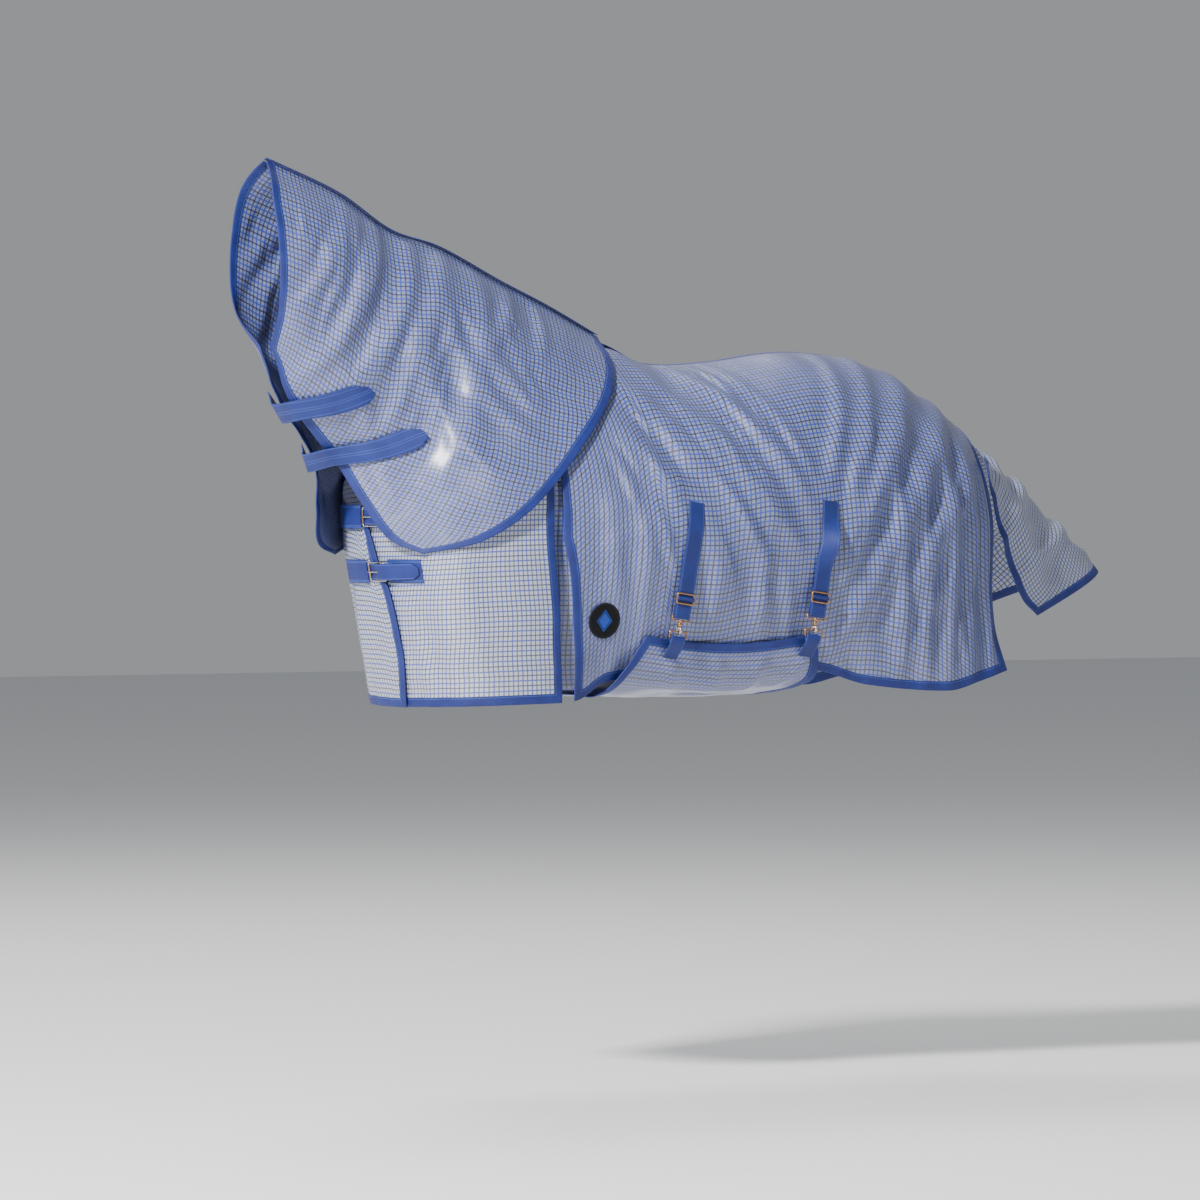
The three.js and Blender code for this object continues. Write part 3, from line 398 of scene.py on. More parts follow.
def piece(name: str, points: Array, uv: Array, material: Material, closed: bool = False,
          looped: bool = False) -> Thing:
    """Makes a mesh object from a grid of points.

    Args:
        name: piece name.
        points: grid [rows, columns, 3] in millimetres; if closed, its last column repeats its first.
        uv: grid [rows, columns, 2] in metres.
        material: finish of the piece.
        closed: whether each row is a closed loop, which is then capped at both ends.
        looped: whether the last row repeats the first, so that the piece runs back into itself uncapped.

    Returns:
        The linked object, with its place in its mesh.
    """
    rows, columns = points.shape[:2]
    width = columns - 1 if closed else columns
    i, j = (g.ravel() for g in np.meshgrid(np.arange(rows - 1), np.arange(columns - 1), indexing="ij"))
    corners = np.stack([(i, j), (i + 1, j), (i + 1, j + 1), (i, j + 1)])
    height = rows - 1 if looped else rows
    quads = (corners[:, 0] % height * width + corners[:, 1] % width).T
    faces = [tuple(q) for q in quads.tolist()]
    vertices = points[:height, :width].reshape(-1, 3) * MM
    loops = uv[corners[:, 0], corners[:, 1]].transpose(1, 0, 2).reshape(-1, 2)
    if closed and not looped:
        faces += [tuple(range(width)), tuple(range((rows - 1) * width, rows * width))[::-1]]
        loops = np.concatenate([loops, uv[0, :width], uv[-1, :width][::-1]])
    if closed:
        a, b, c = (vertices[quads[:, k]] for k in range(3))
        d = vertices[quads[:, 3]]
        volume = np.sum(a * np.cross(b, c)) + np.sum(a * np.cross(c, d))
        if volume < 0:
            starts = np.cumsum([0] + [len(f) for f in faces])
            order = np.concatenate([np.arange(s, e)[::-1] for s, e in zip(starts[:-1], starts[1:])])
            faces, loops = [f[::-1] for f in faces], loops[order]
    mesh = bpy.data.meshes.new(name)
    mesh.from_pydata(vertices.tolist(), [], faces)
    mesh.uv_layers.new(name="UVMap").data.foreach_set("uv", loops.ravel().astype(np.float32))
    mesh.polygons.foreach_set("use_smooth", np.ones(len(faces), bool))
    mesh.set_sharp_from_angle(angle=math.radians(55))
    mesh.materials.append(material)
    mesh.update()
    made = bpy.data.objects.new(name, mesh)
    bpy.context.scene.collection.objects.link(made)
    return made


def finish_piece(made: Thing, body: str, slot: str, *nodes: str) -> Thing:
    """Lets a piece stand for frame nodes and ride on a body."""
    if nodes:
        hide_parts(*nodes)
    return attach(made, body)


def woven(points: Array) -> Array:
    """UV of a sheet: lengths so far along its rows and columns, in metres."""
    return np.stack([run_lengths(points, 0), run_lengths(points, 1)], axis=-1) * MM


def taped(points: Array, across: Array) -> Array:
    """UV of a band: length so far along it, and places across it in millimetres, both in metres."""
    return np.stack([run_lengths(points, 0), across], axis=-1) * MM


def thicken(made: Thing, thickness: float, rim: float = 0.0) -> Thing:
    """Gives a sheet its thickness in millimetres, half to each side, with a rounded rim if asked."""
    wall = made.modifiers.new("wall", "SOLIDIFY")
    wall.thickness = thickness * MM
    wall.offset = 0
    if rim:
        edge = made.modifiers.new("rim", "BEVEL")
        edge.width, edge.segments, edge.limit_method = rim * MM, 2, "ANGLE"
        edge.angle_limit = math.radians(60)
    return made


def grid(nu: int, nv: int) -> tuple[Array, Array]:
    """Even grid of parameters with nu by nv cells, u down the rows."""
    return np.meshgrid(np.linspace(0, 1, nu + 1), np.linspace(0, 1, nv + 1), indexing="ij")


def evaluate(surface: Surface, u: Array, v: Array) -> Array:
    """Surface points for parameters of any shape."""
    return surface(u.ravel(), v.ravel()).reshape(*u.shape, 3)


def run_lengths(points: Array, axis: int) -> Array:
    """Length so far along an axis of a grid of points."""
    steps = np.linalg.norm(np.diff(points, axis=axis), axis=-1)
    pad = np.zeros_like(np.take(steps, [0], axis=axis))
    return np.concatenate([pad, np.cumsum(steps, axis=axis)], axis=axis)


def strip(name: str, left: SpaceCurve, right: SpaceCurve, steps: int, across: int, thickness: float,
          material: Material, tip: float = 0.0) -> Thing:
    """A strip of webbing between two rails.

    A point is the straight blend of the two rails at one share of their length; the last part of the
    strip, tip of its length, narrows by a third on each side to a chamfered end.

    Args:
        name: piece name.
        left: first rail.
        right: second rail.
        steps: cells along the strip.
        across: cells across it.
        thickness: thickness in millimetres.
        material: finish.
        tip: share of the length taken by the chamfered end.

    Returns:
        The strip, with its thickness as a modifier.
    """
    u, v = grid(steps, across)
    narrow = np.clip((u - 1 + tip) / tip, 0, 1) * 0.3 if tip else np.zeros_like(u)
    side = lerp(narrow, 1 - narrow, v)
    a, b = left(u.ravel()).reshape(*u.shape, 3), right(u.ravel()).reshape(*u.shape, 3)
    points = a + (b - a) * side[..., None]
    width = np.linalg.norm(b - a, axis=-1)
    uv = np.stack([run_lengths((a + b) / 2, 0), (side - 0.5) * width], axis=-1) * MM
    return thicken(piece(name, points, uv, material), thickness, 0.5)


def swept(name: str, path: Array, radii: tuple[Array | float, float], material: Material,
          looped: bool = False) -> Thing:
    """A round or oval bar along a flat path.

    Each point of the path carries an oval square to it: its first half-width lies in the path's own
    plane and may change along it, its second is square to that plane.

    Args:
        name: piece name.
        path: points [n, 3] in millimetres.
        radii: half-width in the path's plane, one or [n], and half-width square to it.
        material: finish.
        looped: whether the bar runs back into its start.

    Returns:
        The bar.
    """
    ahead = np.roll(path, -1, axis=0) - np.roll(path, 1, axis=0)
    if not looped:
        ahead[0], ahead[-1] = path[1] - path[0], path[-1] - path[-2]
    plane = np.linalg.svd(path - path.mean(axis=0), full_matrices=False)[2][2]
    first = unit(np.cross(unit(ahead), plane)) * np.broadcast_to(radii[0], len(path))[:, None]
    angle = np.linspace(0, 2 * np.pi, 17)
    section = first[:, None] * np.cos(angle)[None, :, None] + radii[1] * plane * np.sin(angle)[None, :, None]
    points = path[:, None] + section
    points = np.concatenate([points, points[:1]]) if looped else points
    lengths = run_lengths(points[None, :, 0], 1)[0]
    uv = np.stack(np.broadcast_arrays(lengths[:, None], radii[1] * angle[None]), axis=-1) * MM
    return piece(name, points, uv, material, closed=True, looped=looped)


def turned(name: str, profile: Pairs, place: Callable[[Array], Array], material: Material) -> Thing:
    """A turned piece: a profile of (distance along, radius) carried round an axis.

    Args:
        name: piece name.
        profile: pairs in millimetres, from one end to the other.
        place: turns local points [..., 3], whose first number runs along the axis, to their places.
        material: finish.

    Returns:
        The turned piece, capped at both ends.
    """
    along, radius = np.array(profile, float).T
    angle = np.linspace(0, 2 * np.pi, 33)
    a, r, t = np.broadcast_arrays(along[:, None], radius[:, None], angle[None])
    points = place(np.stack([a, r * np.cos(t), r * np.sin(t)], axis=-1))
    uv = np.stack([r * np.cos(t), r * np.sin(t)], axis=-1) * MM
    return piece(name, points, uv, material, closed=True)


def oblong(length: float, width: float, corner: float) -> Array:
    """Outline [n, 2] of a rounded rectangle about (0, 0): quarter circles joined by straights."""
    angle = np.linspace(0, np.pi / 2, 7)
    quarters = []
    for k, (sx, sy) in enumerate(((1, 1), (-1, 1), (-1, -1), (1, -1))):
        centre = np.array([sx * (length / 2 - corner), sy * (width / 2 - corner)])
        turn = angle + k * np.pi / 2
        quarters.append(centre + corner * np.stack([np.cos(turn), np.sin(turn)], axis=-1))
    return np.concatenate(quarters)


# ---------------------------------------------------------------- finishes


class NodeBook:
    """A material's node tree, with short calls for the nodes the finishes use."""

    def __init__(self, name: str) -> None:
        """Starts a material with a Principled shader."""
        self.material = bpy.data.materials.new(name)
        self.material.use_nodes = True
        self.tree = self.material.node_tree
        self.shader = self.tree.nodes["Principled BSDF"]

    def set(self, **values: float | tuple) -> None:
        """Sets constant sockets of the shader; an underscore in a name stands for a space."""
        for key, value in values.items():
            self.shader.inputs[key.replace("_", " ")].default_value = value

    def link(self, source: Socket, socket: str) -> None:
        """Links a source to one of the shader's sockets."""
        self.tree.links.new(source, self.shader.inputs[socket])

    def feed(self, socket: Socket, value: Socket | float | tuple) -> None:
        """Links a source to a socket, or sets the socket if value is a number or colour."""
        if isinstance(value, Socket):
            self.tree.links.new(value, socket)
        else:
            socket.default_value = value

    def math(self, operation: str, *values: Socket | float) -> Socket:
        """A Math node's result."""
        node = self.tree.nodes.new("ShaderNodeMath")
        node.operation = operation
        for socket, value in zip(node.inputs, values):
            self.feed(socket, value)
        return node.outputs[0]

    def plus(self, *values: Socket | float) -> Socket:
        """Sum of two values."""
        return self.math("ADD", *values)

    def less(self, *values: Socket | float) -> Socket:
        """The first value less the second."""
        return self.math("SUBTRACT", *values)

    def times(self, *values: Socket | float) -> Socket:
        """Product of two values."""
        return self.math("MULTIPLY", *values)

    def scaled(self, *values: Socket | float) -> Socket:
        """The first value times the second, plus the third."""
        return self.math("MULTIPLY_ADD", *values)

    def size(self, value: Socket) -> Socket:
        """A value without its sign."""
        return self.math("ABSOLUTE", value)

    def below(self, *values: Socket | float) -> Socket:
        """1 where the first value is below the second."""
        return self.math("LESS_THAN", *values)

    def from_centre(self, a: Socket, b: Socket) -> Socket:
        """Distance of the place (a, b) from (0, 0)."""
        return self.math("SQRT", self.plus(self.times(a, a), self.times(b, b)))

    def mix(self, share: Socket | float, a: Socket | tuple, b: Socket | tuple) -> Socket:
        """Blend of two colours."""
        node = self.tree.nodes.new("ShaderNodeMix")
        node.data_type = "RGBA"
        self.feed(node.inputs["Factor"], share)
        self.feed(node.inputs[6], a)
        self.feed(node.inputs[7], b)
        return node.outputs[2]

    def uv(self) -> tuple[Socket, Socket]:
        """The two UV coordinates, in metres."""
        place = self.tree.nodes.new("ShaderNodeTexCoord")
        parts = self.tree.nodes.new("ShaderNodeSeparateXYZ")
        self.tree.links.new(place.outputs["UV"], parts.inputs[0])
        return parts.outputs[0], parts.outputs[1]

    def noise(self, scale: float, detail: float = 3.0, low: float = 0.35, high: float = 0.65) -> Socket:
        """Noise on object coordinates, spread from 0 to 1 between two levels."""
        place = self.tree.nodes.new("ShaderNodeTexCoord")
        node = self.tree.nodes.new("ShaderNodeTexNoise")
        node.inputs["Scale"].default_value = scale
        node.inputs["Detail"].default_value = detail
        self.tree.links.new(place.outputs["Object"], node.inputs["Vector"])
        spread = self.tree.nodes.new("ShaderNodeMapRange")
        spread.inputs["From Min"].default_value = low
        spread.inputs["From Max"].default_value = high
        self.tree.links.new(node.outputs[0], spread.inputs["Value"])
        return spread.outputs[0]

    def height(self) -> Socket:
        """Object height, in metres."""
        place = self.tree.nodes.new("ShaderNodeTexCoord")
        parts = self.tree.nodes.new("ShaderNodeSeparateXYZ")
        self.tree.links.new(place.outputs["Object"], parts.inputs[0])
        return parts.outputs[2]

    def stripe(self, at: Socket, pitch: float, width: float, shift: float = 0.0) -> Socket:
        """1 inside soft-edged lines of a width, repeated at a pitch, in metres."""
        phase = self.math("FRACT", self.plus(self.math("DIVIDE", at, pitch), 0.5 + shift / pitch))
        off = self.size(self.less(phase, 0.5))
        edge = self.tree.nodes.new("ShaderNodeMapRange")
        edge.interpolation_type = "SMOOTHSTEP"
        half = width / pitch / 2
        for key, value in (("From Min", half * 1.25), ("From Max", half * 0.75)):
            edge.inputs[key].default_value = value
        self.feed(edge.inputs["Value"], off)
        return edge.outputs[0]

    def bump(self, height: Socket, distance: float, strength: float = 1.0) -> None:
        """Feeds a bump of a height field, in metres, to the shader's normal."""
        node = self.tree.nodes.new("ShaderNodeBump")
        node.inputs["Strength"].default_value = strength
        node.inputs["Distance"].default_value = distance
        self.tree.links.new(height, node.inputs["Height"])
        self.link(node.outputs[0], "Normal")


@dataclass(frozen=True)
class CheckMesh:
    """Coated mesh with royal blue and navy lines both ways, glossy and grained; its default ground is
    darkened as painted shade.
    """

    name: str = "check_mesh"
    # painted shade: the default ground is a dark slate, standing for the dark horse seen through the mesh and
    # for cloth turned from the light
    ground: tuple = (0.165, 0.190, 0.32, 1)
    royal: tuple = (0.018, 0.045, 0.33, 1)
    navy: tuple = (0.012, 0.017, 0.060, 1)
    dust: tuple = (0.42, 0.38, 0.33, 1)
    cell: float = 0.011
    line: float = 0.0038
    grain: float = 0.0018

    def build(self) -> Material:
        """Lines at even pitch in U and V, each second one navy; crossed ribs as grain; dust low down."""
        book = NodeBook(self.name)
        u, v = book.uv()
        colour: Socket | tuple = self.ground
        masks = []
        for at in (u, v):
            blue = book.stripe(at, 2 * self.cell, self.line)
            dark = book.stripe(at, 2 * self.cell, self.line * 0.85, self.cell)
            colour = book.mix(book.times(blue, 0.92), colour, self.royal)
            colour = book.mix(book.times(dark, 0.9), colour, self.navy)
            masks += [blue, dark]
        low = book.scaled(book.height(), -2.2, -1.05)
        dusty = book.times(book.times(book.noise(9, 5), 0.16),
                          book.math("MINIMUM", book.math("MAXIMUM", low, 0.12), 1.0))
        colour = book.mix(dusty, colour, self.dust)
        book.link(colour, "Base Color")
        ribs = book.times(*(book.stripe(at, self.grain, self.grain * 0.62) for at in (u, v)))
        height = book.plus(ribs, book.times(book.math("MAXIMUM", masks[0], masks[2]), 0.5))
        book.bump(book.plus(height, book.times(book.noise(30, 4), 0.8)), 0.00035, 0.5)
        book.link(book.scaled(book.noise(14, 3), 0.12, 0.29), "Roughness")
        book.set(Coat_Weight=0.6, Coat_Roughness=0.3, Specular_IOR_Level=0.75)
        return book.material


@dataclass(frozen=True)
class WovenTape:
    """Woven tape or webbing: fine ribs, darkened between them as painted shade, rows of stitches along its
    edges, paler where it is worn.
    """

    name: str
    colour: tuple = (0.004, 0.015, 0.17, 1)
    worn: tuple = (0.010, 0.032, 0.24, 1)
    thread: tuple = (0.05, 0.11, 0.46, 1)
    rib: float = 0.0016
    stitches: tuple[float, ...] = (0.0165,)
    stitch: float = 0.0045
    holes: tuple[float, ...] = ()
    sheen: float = 0.03

    def build(self) -> Material:
        """Ribs slope across the tape; stitches are dashes at set places across it; holes are rounds painted
        near black as the shade inside them.
        """
        book = NodeBook(self.name)
        u, v = book.uv()
        slope = book.plus(u, book.times(book.size(v), 0.6))
        ribs = book.stripe(slope, self.rib, self.rib * 0.6)
        yarns = book.stripe(v, self.rib * 1.3, self.rib * 0.9)
        weave = book.times(ribs, book.scaled(yarns, 0.5, 0.5))
        # painted shade: the tape is darkened in the low places between its raised ribs
        between = (*(c * 0.55 for c in self.colour[:3]), 1)
        colour = book.mix(book.scaled(weave, 0.45, 0.12), between, self.colour)
        colour = book.mix(book.times(book.noise(22, 5), 0.35), colour, self.worn)
        height = book.times(weave, 0.5)
        for place in self.stitches:
            row = book.size(book.less(book.size(v), place))
            near = book.below(row, 0.0006)
            dash = book.times(near, book.stripe(u, self.stitch, self.stitch * 0.68))
            colour = book.mix(book.times(dash, 0.85), colour, self.thread)
            groove = book.times(book.below(row, 0.0012), -0.9)
            height = book.plus(height, book.plus(groove, book.times(dash, 1.6)))
        for place in self.holes:
            du = book.less(u, place)
            hole = book.below(book.from_centre(du, v), 0.0026)
            # painted shade: each hole is coloured near black for the shade inside it
            colour = book.mix(hole, colour, (0.004, 0.004, 0.008, 1))
            height = book.plus(height, book.times(hole, -3.0))
        book.link(colour, "Base Color")
        book.bump(height, 0.0004, 0.6)
        book.set(Roughness=0.62, Sheen_Weight=self.sheen, Sheen_Roughness=0.4)
        return book.material


@dataclass(frozen=True)
class CastMetal:
    """Plated metal with a soft polish: a tone that varies a little, fine scratches and dull patches."""

    name: str
    colour: tuple
    dull: tuple
    rough: float = 0.22

    def build(self) -> Material:
        """Noise blends the bright tone to the dull one, and roughens it in the same patches."""
        book = NodeBook(self.name)
        patches = book.noise(60, 5)
        book.link(book.mix(book.times(patches, 0.55), self.colour, self.dull), "Base Color")
        book.link(book.scaled(patches, 0.2, self.rough), "Roughness")
        book.bump(book.noise(420, 3), 0.0001, 0.25)
        book.set(Metallic=1.0)
        return book.material


@dataclass(frozen=True)
class BadgeCloth:
    """Round sewn badge: black twill, a stitched rim and a plain lozenge."""

    name: str = "badge_cloth"
    black: tuple = (0.003, 0.003, 0.005, 1)
    rim: tuple = (0.010, 0.011, 0.016, 1)
    lozenge: tuple = (0.025, 0.075, 0.42, 1)
    radius: float = 0.040

    def build(self) -> Material:
        """UV holds places across the badge from its centre; the lozenge is where |u| + |v| is small."""
        book = NodeBook(self.name)
        u, v = book.uv()
        rim = book.math("GREATER_THAN", book.from_centre(u, v), self.radius - 0.0042)
        round_at = book.times(book.math("ARCTAN2", v, u), self.radius)
        threads = book.stripe(round_at, 0.0011, 0.0007)
        twill = book.stripe(book.plus(u, v), 0.0012, 0.0007)
        diamond = book.plus(book.size(u), book.times(book.size(v), 0.8))
        inside = book.below(diamond, 0.015)
        outline = book.below(book.size(book.less(diamond, 0.0185)), 0.0012)
        colour = book.mix(book.times(book.math("MAXIMUM", inside, outline), 0.85), self.black, self.lozenge)
        colour = book.mix(book.times(rim, book.scaled(threads, 0.6, 0.4)), colour, self.rim)
        book.link(colour, "Base Color")
        raised = book.plus(book.times(rim, book.scaled(threads, 1.0, 1.0)),
                           book.times(book.less(1.0, rim), twill))
        book.bump(raised, 0.0004, 0.7)
        book.set(Roughness=0.8, Specular_IOR_Level=0.25)
        return book.material


@dataclass
class Finishes:
    """Every finish of the rug, built once."""

    cloth: Material = field(init=False)
    backlit_cloth: Material = field(init=False)
    binding: Material = field(init=False)
    seam_tape: Material = field(init=False)
    strap: Material = field(init=False)
    tab: Material = field(init=False)
    patch: Material = field(init=False)
    billet: Material = field(init=False)
    brass: Material = field(init=False)
    nickel: Material = field(init=False)
    badge: Material = field(init=False)

    def __post_init__(self) -> None:
        """Builds the materials."""
        # the default copy: its darkened ground is painted shade
        self.cloth = CheckMesh().build()
        # painted light: a paler ground for the chest panels and tail flap, standing for light shining through
        # the hanging cloth
        paler = (0.40, 0.43, 0.50, 1)
        self.backlit_cloth = CheckMesh("backlit_check_mesh", ground=paler, line=0.0033).build()
        self.binding = WovenTape("binding_tape", stitches=(0.0165,)).build()
        self.seam_tape = WovenTape("seam_tape", stitches=(0.0085,)).build()
        blue, light_blue, rib = (0.004, 0.017, 0.165, 1), (0.005, 0.020, 0.19, 1), 0.0021
        self.strap = WovenTape("strap_webbing", blue, stitches=(0.0175,), rib=rib).build()
        self.tab = WovenTape("tab_webbing", light_blue, stitches=(0.0215, 0.003), rib=rib).build()
        self.patch = WovenTape("patch_webbing", stitches=(0.0225, 0.0195), rib=rib).build()
        holes = (0.020, 0.052, 0.082)
        self.billet = WovenTape("billet_webbing", stitches=(0.0155,), holes=holes, rib=rib).build()
        self.brass = CastMetal("worn_brass", (0.52, 0.29, 0.14, 1), (0.20, 0.11, 0.06, 1)).build()
        self.nickel = CastMetal("nickel_plate", (0.68, 0.66, 0.60, 1), (0.42, 0.36, 0.28, 1), 0.18).build()
        self.badge = BadgeCloth().build()


# ---------------------------------------------------------------- bound panels


@dataclass(frozen=True)
class BoundEdges:
    """Which edges of a panel are bound: u=0, u=1, v=0 and v=1."""

    start: bool = True
    end: bool = True
    top: bool = False
    bottom: bool = True


ROUND_FROM_TOP = ((0, 0), (0, 1), (1, 1), (1, 0))


class Hold(Enum):
    """How a sheet of cloth is held."""

    DRAPED = "draped"
    HUNG = "hung"


@dataclass
class BoundPanel:
    """A panel of mesh cloth with a tape folded over its bound edges."""

    name: str
    surface: FoldedCloth
    finishes: Finishes
    cells: tuple[int, int]
    flat: tuple[float, float]
    area: float
    hold: Hold
    rests_on: tuple[str, ...]
    edges: BoundEdges = BoundEdges()
    route: Pairs = ROUND_FROM_TOP
    body: str = "root"
    tape_width: float = 20.0
    tape_half: float = 1.7
    tuck_in: float = 7.0
    level_u: bool = False
    sees_light: bool = False
    from_hem: bool = False

    def inset(self, u: Array, v: Array, width: float) -> tuple[Array, Array]:
        """Moves parameters in from the bound edges.

        The share of a parameter that a width takes is the width over the length of a hundredth of the
        parameter at that edge; u and v are then blended between the moved edges.
        """
        zero, one, step = np.zeros_like(u), np.ones_like(u), 0.01

        def share(a: tuple[Array, Array], b: tuple[Array, Array]) -> Array:
            """Share of the parameter that the width takes, by the distance from a to b."""
            return width * step / np.linalg.norm(self.surface.plain(*a) - self.surface.plain(*b), axis=-1)

        start = share((zero, v), (zero + step, v)) if self.edges.start else zero
        end = share((one, v), (one - step, v)) if self.edges.end else zero
        top = share((u, zero), (u, zero + step)) if self.edges.top else zero
        bottom = share((u, one), (u, one - step)) if self.edges.bottom else zero
        return lerp(start, 1 - end, u), lerp(top, 1 - bottom, v)

    def cloth(self) -> Thing:
        """The panel of cloth, running a little way in under its bindings; UV holds lengths along it."""
        u, v = grid(*self.cells)
        inner = self.inset(u.ravel(), v.ravel(), self.tuck_in)
        points = self.surface(*inner).reshape(*u.shape, 3)
        along = points[..., 0] if self.level_u else run_lengths(points, 0)
        down = run_lengths(points, 1)
        if self.from_hem:
            down = down - down[:, -1:]
        uv = np.stack([along, down], axis=-1) * MM
        # painted light and shade: panels that see light take the paler painted-light copy, the others the
        # darker painted-shade copy
        mesh = self.finishes.backlit_cloth if self.sees_light else self.finishes.cloth
        made = thicken(piece(f"{self.name}_cloth", points, uv, mesh), CLOTH)
        finish_piece(made, self.body, "mesh_cloth", f"{self.name}_panel")
        list(self.rests_on)
        return made

    def stations(self) -> tuple[Array, Array]:
        """Parameters along the route of the binding, as many on each leg as the panel has cells there."""
        legs = []
        for start, end in zip(self.route[:-1], self.route[1:]):
            count = self.cells[1] if start[0] == end[0] else self.cells[0]
            share = np.linspace(0, 1, count + 1)[:, None]
            legs.append(lerp(np.array(start, float), np.array(end, float), share)[bool(legs) :])
        return tuple(np.concatenate(legs).T)

    def binding(self) -> Thing:
        """The tape folded over the edge.

        Its section runs out over the front from the inner line to the edge, round a half circle and
        back behind; the tape swells between its stitches by a small sine along its length.
        """
        u, v = self.stations()
        inner = self.inset(u, v, self.tape_width)
        edge, inside = self.surface(u, v), self.surface(*inner)
        outward = unit(edge - inside)
        shares = np.linspace(1, 0, 6)
        rows = []
        for face in (1, -1):
            for share in shares if face == 1 else shares[::-1]:
                at = lerp(u, inner[0], share), lerp(v, inner[1], share)
                normal = surface_normal(self.surface, *at)
                puff = 1 + 0.18 * math.sin(math.pi * share) if 0 < share < 1 else 1
                rows.append((self.surface(*at) + face * self.tape_half * puff * normal, share))
            if face == 1:
                normal = surface_normal(self.surface, u, v)
                for angle in np.linspace(0, np.pi, 6)[1:-1]:
                    bend = math.cos(angle) * normal + math.sin(angle) * outward
                    rows.append((edge + self.tape_half * bend, 0))
        rows.append(rows[0])
        points = np.stack([r[0] for r in rows], axis=1)
        along = run_lengths(edge[None], 1)[0]
        across = np.array([r[1] for r in rows]) * self.tape_width
        uv = np.stack(np.broadcast_arrays(along[:, None], across[None]), axis=-1) * MM
        made = piece(f"{self.name}_tape", points, uv, self.finishes.binding, closed=True)
        return finish_piece(made, self.body, "binding", f"{self.name}_binding")

    def build(self) -> list[Thing]:
        """Makes the cloth and its binding."""
        return [self.cloth(), self.binding()]


# ---------------------------------------------------------------- panels of the rug


def mirrored(folds: tuple[Fold, ...], shift: float) -> tuple[Fold, ...]:
    """The same folds a little along and lower, for the other side."""
    return tuple(
        replace(f, start=(f.start[0] + shift, f.start[1]), end=(f.end[0] + shift, f.end[1]),
                height=f.height * 0.85, bow=-f.bow)
        for f in folds
    )


def beside_seam(whole: Surface, half_tape: float) -> Surface:
    """The surface with its top edge moved down by half a seam tape's width."""

    def moved(u: Array, v: Array) -> Array:
        """Point of the shortened surface: v is blended from the moved edge to the hem."""
        zero = np.zeros_like(u)
        step = np.linalg.norm(whole(u, zero) - whole(u, zero + 0.01), axis=-1)
        return whole(u, lerp(half_tape * 0.01 / step, 1, v))

    return moved


